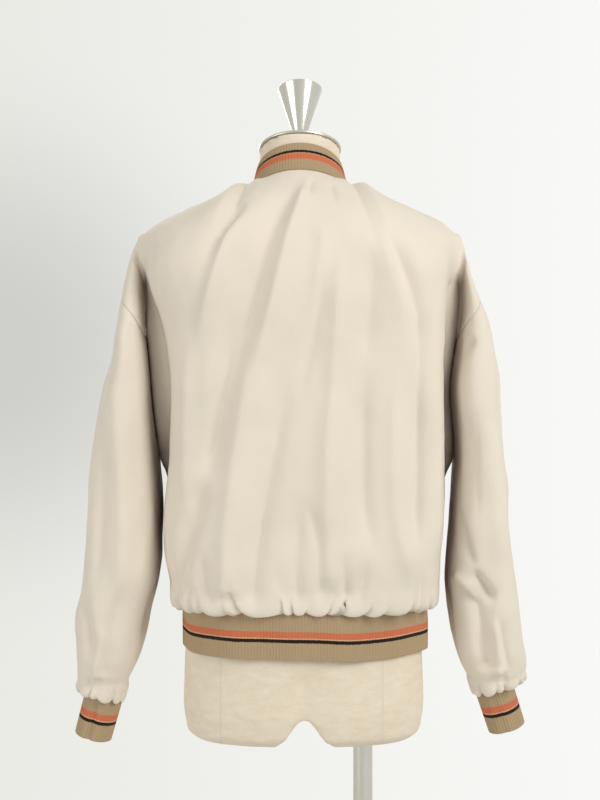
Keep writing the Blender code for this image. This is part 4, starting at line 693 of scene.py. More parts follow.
def wrinkles(points, size, tall, seed):
    """Soft uneven waves of cloth, from -1 to 1; tall stretches them up and down."""
    places = points / size
    places[:, 2] = places[:, 2] / tall
    shift = Vector((seed * 7.1, seed * 3.7, seed * 5.3))
    return np.array([noise.noise(Vector(p) + shift) for p in places.tolist()])


def gathers(way, notches):
    """The gathered edge at a way round a seam: how strongly it is pinched in (0 to 1), and
    how far the cloth hangs between the pinches (0 to 1)."""
    i = np.clip(np.searchsorted(notches["way"], way) - 1, 0, len(notches["way"]) - 2)
    start, end = notches["way"][i], notches["way"][i + 1]
    t = np.clip((way - start) / (end - start), 0.0, 1.0)
    pinch = notches["pinch"][i] + (notches["pinch"][i + 1] - notches["pinch"][i]) * t
    reach = np.sin(math.pi * t) ** (0.32 + 0.25 * notches["hang"][i])
    return pinch * (1 - reach), reach * notches["hang"][i]


def crease(beside, up, width, depth, reach, steady):
    """The depth of a crease that runs up from a gather: it holds over a steady share of its
    reach, and then dies out."""
    gap = beside / (width + CREASE_SPREAD * up)
    return depth * np.exp(-gap ** 2) * (1 - ramp(up, steady * reach, reach))


def gathered_edge(w, pinch, hang):
    """How far out and up the cloth stands over its band at one row of the blousing."""
    out, rise = (read(BLOUSE, name, w, "w") for name in ("out", "rise"))
    out = out + (read(BLOUSE, "notch_out", w, "w") - out) * pinch
    rise = rise + (read(BLOUSE, "notch_rise", w, "w") - rise) * pinch
    return out, rise - read(BLOUSE, "hang", w, "w") * hang


# ---------------------------------------------------------------- body
BLOUSE = table(
    "w     out    rise     notch_out notch_rise hang",
    (0.00, 0.00, 0.0000, 0.00, 0.0000, 0.0000),
    (0.18, 0.24, -0.0006, 0.05, 0.0040, 0.0016),
    (0.38, 0.60, -0.0030, 0.16, 0.0090, 0.0042),
    (0.60, 0.92, 0.0012, 0.45, 0.0150, 0.0024),
    (0.80, 1.00, 0.0120, 0.78, 0.0210, 0.0004),
    (1.00, 1.00, 0.0280, 1.00, 0.0280, 0.0000),
)
BLOUSE_ROWS = 22
FOLD_EASE = (1.238, 1.280)   # between these heights the fold beside the arm fades out
COLLAR_PUFF = 0.0130         # how far the cloth stands up beside the collar
TIP_LIFT = 0.0050            # and at the end of the shoulder, over the armhole's top
TIP_ROUND = 0.0026           # how far the corner of the shoulder is drawn in there
# Where those two work, as a middle (x on either side, y, z) and a size each way.
TIP_LIFTED = (0.2215, 0.0, SHOULDER_TIP_Z), (0.0065, 0.020, 0.011)
TIP_ROUNDED = (0.2295, 0.0, SHOULDER_TIP_Z), (0.0045, 0.020, 0.008)
TIP_STILL = (0.2275, 0.0, SHOULDER_TIP_Z)   # round this point the cloth lies still
MERGE_DISTANCE = 0.0006      # points closer than this are joined
BODY_ROWS = 104
OVER_ROWS = 34
COLUMNS = 78
STRIP_COLUMNS = 26


def even_across(side, face):
    """Column values that space the columns evenly round the body, and their way round."""
    dense = np.linspace(0.0, 1.0, 3001) ** 2
    way = walked(level_line(*section(side, face, dense, np.full_like(dense, 1.0))))
    places = np.linspace(0.0, way[-1], COLUMNS + 1)
    return np.interp(places, way, dense), places


def seam_way(side, face, across):
    """The signed way round the hem seam from the centre back."""
    dense = np.linspace(0.0, 1.0, 2001) ** 2
    lengths = {each: walked(level_line(*band_ring(side, each, dense))) for each in (1, -1)}
    way = np.interp(across, dense, lengths[face])
    if face < 0:
        way = lengths[1][-1] + lengths[-1][-1] - way
    return side * way


def field(points, middle, size):
    """1 at a place on either side of the body, and less with the distance from it."""
    off = (np.abs(points * (1, 0, 0)) + points * (0, 1, 1) - middle) / size
    return np.exp(-np.sum(off ** 2, axis=-1))


def half_panel(side, face):
    """Points of half a panel by row and column, with their cloth coordinates and the way
    round the hem. Columns of the dropped shoulder follow those of the body."""
    across, way = even_across(side, face)
    seam_up = up_of_height(SEAM_TURN_Z)
    low = np.linspace(0.0, seam_up, int(BODY_ROWS * seam_up) + 1)
    high = np.linspace(seam_up, 1.0, BODY_ROWS - len(low) + 2)[1:]
    ups = np.concatenate([low, high, np.linspace(1.0, 2.0, OVER_ROWS + 1)[1:]])
    grid_up, grid_across = np.meshgrid(ups, across, indexing="ij")
    main = body_point(side, face, grid_across, grid_up)
    shares = np.linspace(0.0, 1.0, STRIP_COLUMNS + 1)[1:]
    strip_up, strip_share = np.meshgrid(ups, shares, indexing="ij")
    strip, _ = strip_point(side, face, strip_share, strip_up)
    strip[strip_share >= 1.0, 1] = 0.0
    foot = main[0]
    x, y = band_ring(side, face, across)
    round_hem = seam_way(side, face, across)
    pinch, hang = gathers(round_hem, NOTCHES)
    blouse = []
    for w in np.linspace(0.0, 1.0, BLOUSE_ROWS + 1)[:-1]:
        out, rise = gathered_edge(w, pinch, hang)
        blouse.append(np.stack([x + (foot[:, 0] - x) * out, y + (foot[:, 1] - y) * out,
                                HEM_SEAM_Z + rise], axis=1))
    rows = np.concatenate([np.array(blouse), main])
    seam_row = BLOUSE_ROWS + len(low) - 1
    points = np.concatenate([rows, np.zeros((len(rows), STRIP_COLUMNS, 3))], axis=1)
    points[BLOUSE_ROWS:, COLUMNS + 1:] = strip
    there = np.ones(points.shape[:2], bool)
    there[:seam_row, COLUMNS + 1:] = False
    ease_fold(points[seam_row:])
    beside_collar(points[BLOUSE_ROWS:])
    points[..., 2] += TIP_LIFT * field(points, *TIP_LIFTED)
    points[..., 0] -= side * TIP_ROUND * field(points, *TIP_ROUNDED)
    height = walked(points[:, COLUMNS // 2])
    u = np.concatenate([way, way[-1] + walked(strip[-20])[:STRIP_COLUMNS] + 0.004])
    uv = np.stack(np.meshgrid(u * side, height), axis=-1)
    hem = np.broadcast_to(np.concatenate([round_hem, np.zeros(STRIP_COLUMNS)]), there.shape)
    return points, uv, hem, there, seam_row


def ease_fold(rows):
    """Eases out the top of the fold beside the arm, where it runs out into the shoulder."""
    fade = ramp(rows[:, COLUMNS, 2], *FOLD_EASE)[:, None]
    column = np.arange(rows.shape[1])
    near = np.exp(-((column - COLUMNS - 2) / 15.0) ** 4) * (column < rows.shape[1] - 1)
    share = (fade * near)[:, 1:-1, None] * 0.5
    for _ in range(160):
        rows[:, 1:-1] += share * (rows[:, :-2] + rows[:, 2:] - 2 * rows[:, 1:-1])


def beside_collar(rows):
    """Lets the cloth stand up a little beside the collar, as its seam pushes it."""
    x, y, z = (rows[..., i] for i in range(3))
    away = NECK_HALF_WIDTH * (np.hypot(x / NECK_HALF_WIDTH, y / NECK_HALF_DEPTH) - 1)
    beside = ramp(np.abs(x), 0.040, 0.062) * np.exp(-(y / 0.055) ** 2) * ramp(z, 1.315, 1.345)
    rows[..., 2] += COLLAR_PUFF * beside * ramp(away, 0.0, 0.010) * (1 - ramp(away, 0.014, 0.060))


def make_panel(name, halves, folds, sizes):
    """The back, of two halves joined down its middle, or one front."""
    points, uvs, hems, seams, faces = [], [], [], [], []
    start = 0
    centre = None
    for side, face in halves:
        grid, uv, hem, there, seam_row = half_panel(side, face)
        index = np.full(there.shape, -1)
        new = there.copy()
        if centre is not None:
            new[:, 0] = False
            index[:, 0] = centre
        index[new] = start + np.arange(new.sum())
        start += new.sum()
        for rows, values in ((points, grid), (uvs, uv), (hems, hem)):
            rows.append(values[new])
        centre = index[:, 0]
        seams += index[:seam_row, COLUMNS].tolist() + index[seam_row, COLUMNS:].tolist()
        seams += index[seam_row:, -1].tolist() + index[-1].tolist()
        if face < 0:
            seams += index[:, 0].tolist()
        faces += grid_faces(index if side * face < 0 else index[:, ::-1])
    points, uvs, hems = (np.concatenate(rows) for rows in (points, uvs, hems))
    normals = normals_of(points, faces)
    if np.sum(normals[:, 1]) * face < 0:
        normals = -normals
    free = nearest(points, points[[i for i in seams if i >= 0]])
    lift = shape_cloth(points, free, sizes)
    seen = fold_lift(folds, points[:, 0], points[:, 2])
    calm = ramp(free, 0.003, 0.022) * ramp(normals[:, 1] * face, 0.05, 0.35)
    lift = lift + seen * calm * sizes.fold_depth
    height = points[:, 2] - HEM_SEAM_Z
    lift = lift + hem_creases(hems, height) * ramp(free, 0.0, 0.012)
    tip = np.linalg.norm(np.abs(points * (1, 0, 0)) + points * (0, 1, 1) - TIP_STILL, axis=1)
    lift = lift * ramp(height, 0.0, BLOUSE_RISE) * ramp(tip, 0.004, 0.016)
    return finish_cloth(name, points + normals * lift[:, None], faces, uvs, face, sizes)


def nearest(points, others):
    """Distance from each point to the nearest of the others."""
    tree = KDTree(len(others))
    for i, place in enumerate(others.tolist()):
        tree.insert(place, i)
    tree.balance()
    return np.array([tree.find(p)[2] for p in points.tolist()])


def shape_cloth(points, free, sizes):
    """What all cloth has: soft waves, small wrinkles, and puckers that run into its seams."""
    soft = 0.0018 * wrinkles(points.copy(), 0.055, 2.6, 1)
    small = 0.0007 * wrinkles(points.copy(), 0.017, 1.8, 2)
    pucker = 0.0007 * wrinkles(points.copy(), 0.009, 1.0, 3)
    near_seam = ramp(free, 0.0, 0.003) * (1 - ramp(free, 0.007, 0.016))
    roll = -0.0009 * (1 - ramp(free, 0.0, 0.0030))
    return (soft + small) * ramp(free, 0.002, 0.02) * sizes.wrinkle + pucker * near_seam + roll


def hem_creases(way, height):
    """Creases that run up from the gathers, each of its own depth, height and slant."""
    lift = np.zeros_like(way)
    low = np.nonzero(height < 0.075)[0]
    up = np.clip(height[low], 0.0, 0.08)
    for i, notch in enumerate(NOTCHES["way"]):
        reach = 0.042 + 0.034 * noise.noise(Vector((i * 1.7, 4.2, 0.3)))
        slant = 0.30 * noise.noise(Vector((i * 0.9, 8.1, 2.2)))
        deep = crease(way[low] - notch - slant * up, up, 0.0026, 0.0050 * NOTCHES["pinch"][i],
                      reach, 0.35)
        lift[low] = np.minimum(lift[low], -deep)
    return lift


def thicken(made, sizes):
    """Gives cloth its thickness, inwards from the side that shows."""
    thick = made.modifiers.new("cloth and lining", "SOLIDIFY")
    thick.thickness = sizes.cloth_thickness
    thick.offset = -1.0
    return made


def finish_cloth(name, points, faces, uvs, face, sizes):
    """Makes a panel's mesh with its faces outwards, joins the points that lie all but on one
    another at the shoulder's end, and gives it its thickness."""
    quads = np.asarray(faces)
    if np.sum(normals_of(points, faces)[:, 1]) * face < 0:
        quads = quads[:, ::-1]
    made = mesh_object(name, points, quads.tolist(), uvs)
    with editing(made) as body:
        bmesh.ops.remove_doubles(body, verts=body.verts, dist=MERGE_DISTANCE)
    return thicken(made, sizes)


# ---------------------------------------------------------------- sleeves
SLEEVE_ROWS = 118
SLEEVE_COLUMNS = 132
SLEEVE_EVEN = 0.45           # the columns are evenly spaced from this share of the way down
SLEEVE_ROUND = 0.27          # mean way round the sleeve, for its flat coordinates
CUFF_MEAN_RADIUS = 0.045     # of the full cloth over the cuff


def armhole_line(side):
    """The sleeve's top edge from the underarm up the back and down the front, with the turn
    round the arm at each of its points."""
    under, out = up_of_height(UNDERARM_Z), up_of_height(SEAM_TURN_Z)
    line, turns = [], []
    for face in (1, -1):
        ups = np.linspace(under, out, 80)
        fold = body_point(side, face, np.ones_like(ups), ups)
        turn = passage_turn(side, fold[:, 2], face)
        shares = np.linspace(0.0, 1.0, 80)[1:]
        strip, strip_turn = strip_point(side, face, shares, np.full_like(shares, out))
        half = np.concatenate([fold, strip])
        half_turn = np.concatenate([turn, strip_turn])
        half[[0, -1], 1] = 0.0
        half_turn[0] = math.pi * face
        line.append(half if face > 0 else half[::-1][1:])
        turns.append(half_turn if face > 0 else half_turn[::-1][1:])
    return np.concatenate(line), np.concatenate(turns)


def make_sleeve(name, side, back_folds, sizes):
    line, turns = armhole_line(side)
    top, top_turn = evenly(line, SLEEVE_COLUMNS + 1, turns)
    top, top_turn = top[:-1], top_turn[:-1]
    even = math.pi - 2 * math.pi * np.arange(SLEEVE_COLUMNS) / SLEEVE_COLUMNS
    foot = cuff_ring(side, even, CUFF_LENGTH)
    low_z = foot[:, 2] + SLEEVE_BLOUSE_RISE
    rows = []
    for share in np.linspace(0.0, 1.0, SLEEVE_ROWS + 1):
        turn = top_turn + (even - top_turn) * ramp(share, 0.0, SLEEVE_EVEN)
        z = top[:, 2] + (low_z - top[:, 2]) * share
        row = arm_point(side, turn, z)
        blend = ramp(share, 0.0, 0.02)
        rows.append(top + (row - top) * blend if share < 0.02 else row)
    axis = cuff_frame(side)[1]
    full = rows[-1]
    spread = full - foot
    spread = spread - axis * (spread @ axis)[:, None]
    notches = dict(CUFF_NOTCHES, way=np.radians(CUFF_NOTCHES["way"] + (0 if side > 0 else 11)))
    wrapped = np.where(even > notches["way"][-1], even - 2 * math.pi, even)
    pinch, hang = gathers(wrapped, notches)
    for w in np.linspace(1.0, 0.0, BLOUSE_ROWS + 1)[1:]:
        out, rise = gathered_edge(w, pinch, hang)
        rise = rise * SLEEVE_BLOUSE_RISE / BLOUSE_RISE
        row = foot + axis * (rise + SEAM)[:, None] + spread * out[:, None]
        low = foot + axis * (rise + SEAM)[:, None]
        tilt = ((full - foot) @ axis - SLEEVE_BLOUSE_RISE) * ramp(w, 0.5, 1.0)
        rows.append(row + axis * tilt[:, None] if w < 1 else low)
    grid = np.array(rows)
    count = len(grid)
    index = np.arange(count * SLEEVE_COLUMNS).reshape(count, SLEEVE_COLUMNS)
    faces = grid_faces(index, closed=True)
    points = grid.reshape(-1, 3)
    length = walked(grid[:, SLEEVE_COLUMNS // 4])
    around = np.abs(np.arange(SLEEVE_COLUMNS) * SLEEVE_ROUND / SLEEVE_COLUMNS - SLEEVE_ROUND / 2)
    uvs = np.stack(np.meshgrid(around, -length), axis=-1).reshape(-1, 2)
    normals = normals_of(points, faces)
    middle = np.repeat(grid.mean(axis=1), SLEEVE_COLUMNS, axis=0)
    if np.sum(normals * (points - middle)) < 0:
        normals = -normals
        faces = [face[::-1] for face in faces]
    free = nearest(points, grid[0])
    lift = shape_cloth(points, free, sizes)
    seen = np.zeros(len(points))
    for folds, key, direction in (
            (back_folds, points[:, 0], normals[:, 1]),
            (SLEEVE_FRONT, side * points[:, 0], -normals[:, 1]),
            (SLEEVE_OUTER, points[:, 1], side * normals[:, 0]),
            (SLEEVE_INNER, points[:, 1], -side * normals[:, 0])):
        seen += fold_lift(folds, key, points[:, 2]) * ramp(direction, 0.15, 0.60)
    lift = lift + seen * ramp(free, 0.003, 0.022) * sizes.fold_depth
    turn = np.tile(wrapped, count)
    above = (points - np.tile(foot, (count, 1))) @ axis
    up = np.clip(above, 0.0, 0.08)
    creases = np.zeros(len(points))
    for i, notch in enumerate(notches["way"][1:-1]):
        reach = 0.034 + 0.026 * noise.noise(Vector((i * 1.3, side * 2.1, 0.7)))
        beside = (turn - notch) * CUFF_MEAN_RADIUS
        creases = np.maximum(creases, crease(beside, up, 0.0030, 0.0040 * notches["pinch"][i + 1],
                                             reach, 0.3))
    lift = (lift - creases) * ramp(above, 0.0, SLEEVE_BLOUSE_RISE)
    return thicken(mesh_object(name, points + normals * lift[:, None], faces, uvs), sizes)


# ---------------------------------------------------------------- rib knit bands
RIB_COLUMNS = 6              # columns of the mesh to each rib
RIB_FULLNESS = 0.8           # 1 is an even wave, and less a fuller rib
BAND_DRAW = 0.0010           # how far the knit draws in towards its free edge
HEM_WAVE = (-0.088, 0.050, 0.0034)   # where the band sags at the back, how widely and how far


def knit_band(name, ring, length, height, upward, closed, sizes):
    """A band of rib knit, folded at its free edge. ring(level, count) gives the line at the
    foot of its ribs, from the free edge (0) to the seam (1), its outward directions and the
    way along it."""
    ribs = int(round(length / sizes.rib_pitch))
    count = ribs * RIB_COLUMNS + (0 if closed else 1)
    phase = 2 * math.pi * np.arange(count) / RIB_COLUMNS
    bump = sizes.rib_height * (0.5 - 0.5 * np.cos(phase)) ** RIB_FULLNESS
    half = RIB_WALL / 2
    profile = [(level, 1.0, 0.0) for level in np.linspace(1.0, 0.0, 27)]
    profile += [(0.0, math.cos(a), math.sin(a)) for a in np.linspace(0, math.pi, 8)[1:-1]]
    profile += [(level, -1.0, 0.0) for level in np.linspace(0.0, 1.0, 12)]
    profile += [(1.0, -math.cos(a), -math.sin(a)) for a in np.linspace(0, math.pi, 6)[1:-1]]
    points, uvs = [], []
    for level, outward, down in profile:
        line, out, way = ring(level, count)
        thick = half + bump
        row = line - out * half + out * (outward * thick)[:, None] - upward * (down * half * 0.9)
        points.append(row)
        uvs.append(np.stack([way, np.full(count, level * height)], axis=1))
    points, uvs = np.concatenate(points), np.concatenate(uvs)
    index = np.arange(len(points)).reshape(len(profile), count)
    index = np.vstack([index, index[:1]])
    faces = grid_faces(index, closed)
    if not closed:
        faces += [index[:-1, 0].tolist(), index[:-1, -1][::-1].tolist()]
    return solid_object(name, points, faces, uvs)


def outward(line, axis, centre, closed):
    """Outward directions of a ring, square to its own line."""
    if closed:
        along = np.roll(line, -1, axis=0) - np.roll(line, 1, axis=0)
    else:
        along = np.gradient(line, axis=0)
    out = unit(np.cross(along, axis))
    return out * np.sign(np.sum(out * (line - centre), axis=1))[:, None]


def hem_ring(level, count):
    shares = np.linspace(0.0, 1.0, 400) ** 1.6
    parts = []
    for side, face, order in ((1, -1, 1), (1, 1, -1), (-1, 1, 1), (-1, -1, -1)):
        parts.append(level_line(*band_ring(side, face, shares, -BAND_DRAW * (1 - level)))[::order])
    line = np.concatenate([parts[0], parts[1][1:], parts[2][1:], parts[3][1:]])
    z = HEM_SEAM_Z - SEAM - HEM_BAND_HEIGHT * (1 - level)
    line, = evenly(line, count)
    line[:, 2] = z
    out = outward(line, (0.0, 0.0, 1.0), np.array([HEM_CENTRE_X, 0.0, z]), False)
    way = walked(line)
    where, width, sag = HEM_WAVE
    low = 1 - ramp(level, 0.55, 1.0)
    behind = ramp(line[:, 1], 0.0, 0.05)
    line[:, 2] -= sag * low * behind * np.exp(-((line[:, 0] - where) / width) ** 2)
    sway = 0.0016 * np.sin(way * 41.0 + 0.6) + 0.0012 * np.sin(way * 87.0 + 2.0)
    ends = ramp(way, 0.0, 0.05) * ramp(way[-1] - way, 0.0, 0.05)
    line += out * (sway * low * ends)[:, None]
    return line, out, way


def collar_ring(level, count):
    """level runs from the free edge at the top (0) to the neck seam (1)."""
    start = math.asin(COLLAR_FRONT_GAP / NECK_HALF_WIDTH)
    turn = np.linspace(start, 2 * math.pi - start, 400)
    lines = []
    for scale, side_z, slope in ((1.0, NECK_SIDE_Z + SEAM, NECK_SLOPE),
                                 (COLLAR_TOP_SCALE, COLLAR_TOP_SIDE_Z, COLLAR_TOP_SLOPE)):
        y = -NECK_HALF_DEPTH * scale * np.cos(turn)
        x = NECK_HALF_WIDTH * scale * np.sin(turn)
        lines.append(np.stack([x, y, side_z + slope * y], axis=1))
    line = lines[1] + (lines[0] - lines[1]) * level
    flat = unit(line * np.array([1.0, 1.0, 0.0]))
    line = line + flat * COLLAR_BOW * math.sin(math.pi * level)
    line, = evenly(line, count)
    out = outward(line, (0.0, -NECK_SLOPE, 1.0), np.array([0.0, 0.0, NECK_SIDE_Z]), False)
    return line, out, walked(line)


CUFF_DENTS = table(
    "side  turn    width  depth",
    (1.0, 82.0, 11.0, 0.0042),
    (1.0, 210.0, 16.0, 0.0022),
    (-1.0, 104.0, 14.0, 0.0020),
    (-1.0, 250.0, 14.0, 0.0026),
)


def cuff_line(side):
    mouth, axis, _ = cuff_frame(side)

    def ring(level, count):
        turn = np.linspace(0.0, 2 * math.pi, 361)
        dent = np.zeros_like(turn)
        for i in range(len(CUFF_DENTS["turn"])):
            if CUFF_DENTS["side"][i] == side:
                gap = (np.degrees(turn) - CUFF_DENTS["turn"][i]) / CUFF_DENTS["width"][i]
                dent -= CUFF_DENTS["depth"][i] * np.exp(-gap ** 2)
        dent = dent * (1 - 0.75 * ramp(level, 0.5, 1.0)) - BAND_DRAW * (1 - level)
        line, = evenly(cuff_ring(side, turn, CUFF_LENGTH * level, dent), count + 1)
        line = line[:-1]
        return line, outward(line, axis, mouth + axis * CUFF_LENGTH * level, True), walked(line)
    return ring


def make_bands(sizes):
    up = np.array([0.0, 0.0, 1.0])
    collar_height = (COLLAR_TOP_SIDE_Z - NECK_SIDE_Z) + COLLAR_EXTRA_HEIGHT
    made = {}
    for node, ring, height, upward in (("hem_band", hem_ring, HEM_BAND_HEIGHT, up),
                                       ("collar", collar_ring, collar_height, -up)):
        length = ring(1.0, 900)[2][-1]
        made[node] = knit_band(node + "_knit", ring, length, height, upward, False, sizes)
    for side in (1, -1):
        node, ring, axis = "cuff_" + CUFFS[side]["name"], cuff_line(side), cuff_frame(side)[1]
        line, _, way = ring(1.0, 360)
        length = way[-1] + float(np.linalg.norm(line[0] - line[-1]))
        made[node] = knit_band(node + "_knit", ring, length, CUFF_LENGTH, axis, True, sizes)
    return made


# ---------------------------------------------------------------- zip
TOOTH = {"pitch": 0.0025, "tall": 0.0015, "deep": 0.0017, "edge": 0.00012}
OUTLINE_POINTS = 40          # round the slider's plate, the tab and its eye
TAPE_EDGE = 0.0037           # each zip tape runs from here to near the middle
SLIDER = {"width": 0.0080, "length": 0.0100, "plate": 0.0008, "lift": 0.0012,
          "corner": 0.0022, "taper": 0.74, "edge": 0.00025}
HINGE_SEAT = (0.0, 0.0005, -0.0003)  # from the smooth line down the front to the joint's own place
BAIL = {"width": 0.0022, "opening": 0.0023, "bar": 0.0010, "span": 0.0062}
PULL = {"width": 0.0070, "thick": 0.0012, "length": 0.0250, "bar": 0.0014,
        "corner": 0.0021, "taper": 0.86, "edge": 0.00028,
        "eye_width": 0.0034, "eye_length": 0.0062, "eye_corner": 0.0007}


def centre_front():
    """Points down the middle of the front, from the neck to the foot of the hem band, with
    their outward directions."""
    ups = np.concatenate([np.linspace(2.0, 1.0, 30), np.linspace(1.0, 0.0, 60)[1:]])
    line = body_point(1, -1, np.zeros_like(ups), ups)
    low = np.array([[0.0, -HEM_FRONT_DEPTH, HEM_SEAM_Z - SEAM - 0.002],
                    [0.0, -HEM_FRONT_DEPTH, HEM_SEAM_Z - SEAM - HEM_BAND_HEIGHT / 2],
                    [0.0, -HEM_FRONT_DEPTH + 0.001, HEM_SEAM_Z - SEAM - HEM_BAND_HEIGHT]])
    line = np.concatenate([line, low])
    line[:, 0] = 0.0
    line, = evenly(line, 420)
    along = np.gradient(line, axis=0)
    outs = unit(np.stack([0 * along[:, 0], along[:, 2], -along[:, 1]], axis=1))
    return line, outs


def at_way(line, outs, way, place):
    point = np.array([np.interp(place, way, line[:, i]) for i in range(3)])
    out = unit(np.array([np.interp(place, way, outs[:, i]) for i in range(3)]))
    return point, out


def make_zip_tapes(line, outs):
    points, faces, uvs = [], [], []
    way = walked(line)
    section_line = ((0.0004, 0.00095), (0.0010, 0.00080), (0.0016, 0.00120), (TAPE_EDGE, 0.00120),
                    (TAPE_EDGE, 0.00170), (0.0004, 0.00170))
    count = len(section_line)
    for side in (1, -1):
        start = len(points)
        for i, (point, out) in enumerate(zip(line, outs)):
            for x, deep in section_line:
                points.append(point + np.array([side * x, 0, 0]) - out * deep)
                uvs.append((side * x, way[i]))
        index = start + np.arange(len(line) * count).reshape(len(line), count)
        faces += grid_faces(index, closed=True)
        faces += [index[0].tolist(), index[-1][::-1].tolist()]
    return solid_object("zip_tapes", points, faces, uvs)


def make_zip_teeth(line, outs):
    """Two rows of metal teeth that lock in turn, each a block with a rounded nose."""
    way = walked(line)
    nose = [(0.0000, -0.45), (0.0006, -0.50), (0.0030, -0.36), (0.0030, 0.36), (0.0006, 0.50),
            (0.0000, 0.45), (-0.0006, 0.22), (-0.0006, -0.22)]
    points, faces = [], []
    steps = int((way[-1] - 0.012) / TOOTH["pitch"])
    for side in (1, -1):
        for i in range(steps):
            place = 0.006 + (i + (0.5 if side > 0 else 0.0)) * TOOTH["pitch"]
            point, out = at_way(line, outs, way, place)
            down = np.array([0.0, -out[2], out[1]])
            for top, shrink in ((0.0000, 0.74), (-0.0004, 1.0), (-TOOTH["deep"], 1.0)):
                for x, share in nose:
                    x = 0.0012 + (x - 0.0012) * shrink
                    points.append(point + np.array([side * x, 0, 0]) + out * top
                                  + down * share * TOOTH["tall"] * shrink)
            index = len(points) - 3 * len(nose) + np.arange(3 * len(nose)).reshape(3, -1)
            faces += grid_faces(index, closed=True)
            faces += [index[0].tolist(), index[-1][::-1].tolist()]
    return break_edges(solid_object("zip_teeth", points, faces), TOOTH["edge"])


def break_edges(made, width, segments=2):
    """Breaks the sharp edges of a piece of metal."""
    step = made.modifiers.new("broken edges", "BEVEL")
    step.width = width
    step.segments = segments
    step.limit_method = "ANGLE"
    step.angle_limit = math.radians(35)
    return made


def plate(outline, hole, thick):
    """A flat plate in the X-Z plane from a rounded outline, with a hole of as many points."""
    count = len(outline)
    points, faces = [], []
    rings = [outline] if hole is None else [outline, hole]
    for y in (-thick / 2, thick / 2):
        for ring in rings:
            points += [(x, y, z) for x, z in ring]
    per_side = count * len(rings)
    for k in range(count):
        j = (k + 1) % count
        faces.append((k, j, per_side + j, per_side + k))
        if hole is not None:
            faces.append((count + j, count + k, per_side + count + k, per_side + count + j))
            faces.append((k, count + k, count + j, j))
            faces.append((per_side + k, per_side + j, per_side + count + j, per_side + count + k))
    if hole is None:
        faces.append(tuple(range(count)))
        faces.append(tuple(per_side + k for k in reversed(range(count))))
    return points, faces


def rounded(width, high, low, radius, taper=1.0):
    """A rounded rectangle from low to high, narrowed towards its foot."""
    turns = 2 * math.pi * (np.arange(OUTLINE_POINTS) + 0.5) / OUTLINE_POINTS
    corner = np.stack([np.cos(turns), np.sin(turns)], axis=1)
    x = corner[:, 0] * radius + np.sign(corner[:, 0]) * (width / 2 - radius)
    z = corner[:, 1] * radius + np.where(corner[:, 1] > 0, high - radius, low + radius)
    share = (z - low) / (high - low)
    x = x * (taper + (1 - taper) * share)
    return list(zip(x.tolist(), z.tolist()))


def slider_frame(line, outs):
    way = walked(line)
    place, out = at_way(line, outs, way, SLIDER_BELOW_NECK)
    turned_frame = Matrix.Rotation(math.atan2(-out[2], -out[1]), 4, "X")
    return Matrix.Translation(Vector(place) + Vector(HINGE_SEAT)) @ turned_frame


def metal_object(parts, name, body, matrix, edge):
    """One piece of metal from several closed shapes, with broken edges."""
    points, faces = [], []
    for part_points, part_faces in parts:
        base = len(points)
        points += [tuple(matrix @ Vector(p)) for p in part_points]
        faces += [[base + i for i in face] for face in part_faces]
    return break_edges(solid_object(name, points, faces, body=body), edge, 3)


def make_slider(line, outs):
    """The slider's plate with its arched bail, and the pull tab that hangs from the bail."""
    matrix = slider_frame(line, outs)
    half = SLIDER["length"] / 2
    front_y = -(SLIDER["lift"] + SLIDER["plate"])
    wide = rounded(SLIDER["width"], half, -half, SLIDER["corner"], SLIDER["taper"])
    body_points, body_faces = plate(wide, None, SLIDER["plate"])
    shift = -(SLIDER["lift"] + SLIDER["plate"] / 2)
    body_points = [(x, y + shift, z) for x, y, z in body_points]

    def arch(*corners):
        """One line of the bail: its corners at one end, and the same again at the other."""
        return list(corners) + [(y, -z) for y, z in reversed(corners)]

    foot = front_y + 0.0002
    top = front_y - BAIL["opening"] - BAIL["bar"]
    end = (BAIL["span"] + BAIL["bar"]) / 2
    outer = arch((foot, end), (top + 0.0009, end), (top + 0.0002, end - 0.0004),
                 (top, end - 0.0012))
    under = front_y - BAIL["opening"]
    end = (BAIL["span"] - BAIL["bar"]) / 2
    inner = arch((foot, end), (under + 0.0005, end), (under + 0.0001, end - 0.0001),
                 (under, end - 0.0004))
    bail_points = [(x, y, z) for x in (-BAIL["width"] / 2, BAIL["width"] / 2)
                   for y, z in outer + inner]
    count = len(outer)
    bail_faces = []
    for k in range(count - 1):
        a, b, c, d = (k + i * count for i in range(4))
        bail_faces += [(a, a + 1, b + 1, b), (c, d, d + 1, c + 1),
                       (a, c, c + 1, a + 1), (b, b + 1, d + 1, d)]
    bail_faces += [(k, count + k, 3 * count + k, 2 * count + k) for k in (0, count - 1)]
    slider = metal_object([(body_points, body_faces), (bail_points, bail_faces)],
                          "zip_slider_brass", HELD, matrix, SLIDER["edge"])
    hinge = matrix @ Matrix.Translation((0.0, front_y - BAIL["opening"] / 2, 0.0))
    bar = PULL["bar"] / 2
    outline = rounded(PULL["width"], bar, bar - PULL["length"], PULL["corner"], PULL["taper"])
    eye = rounded(PULL["eye_width"], -bar, -bar - PULL["eye_length"], PULL["eye_corner"])
    tab = metal_object([plate(outline, eye, PULL["thick"])], "pull_tab_brass", TAB, hinge,
                       PULL["edge"])
    return slider, tab


# ---------------------------------------------------------------- dress form and stand
FORM_COLUMNS = 128
FORM_TOP_Z = 1.4278
COVER_CELL = 0.0036          # grain of the cover's one skin
COVER_SOFTENING = 6          # how often its edges are softened
CAP_REACH = 0.0050           # the cover is drawn up to the cap from this far below it


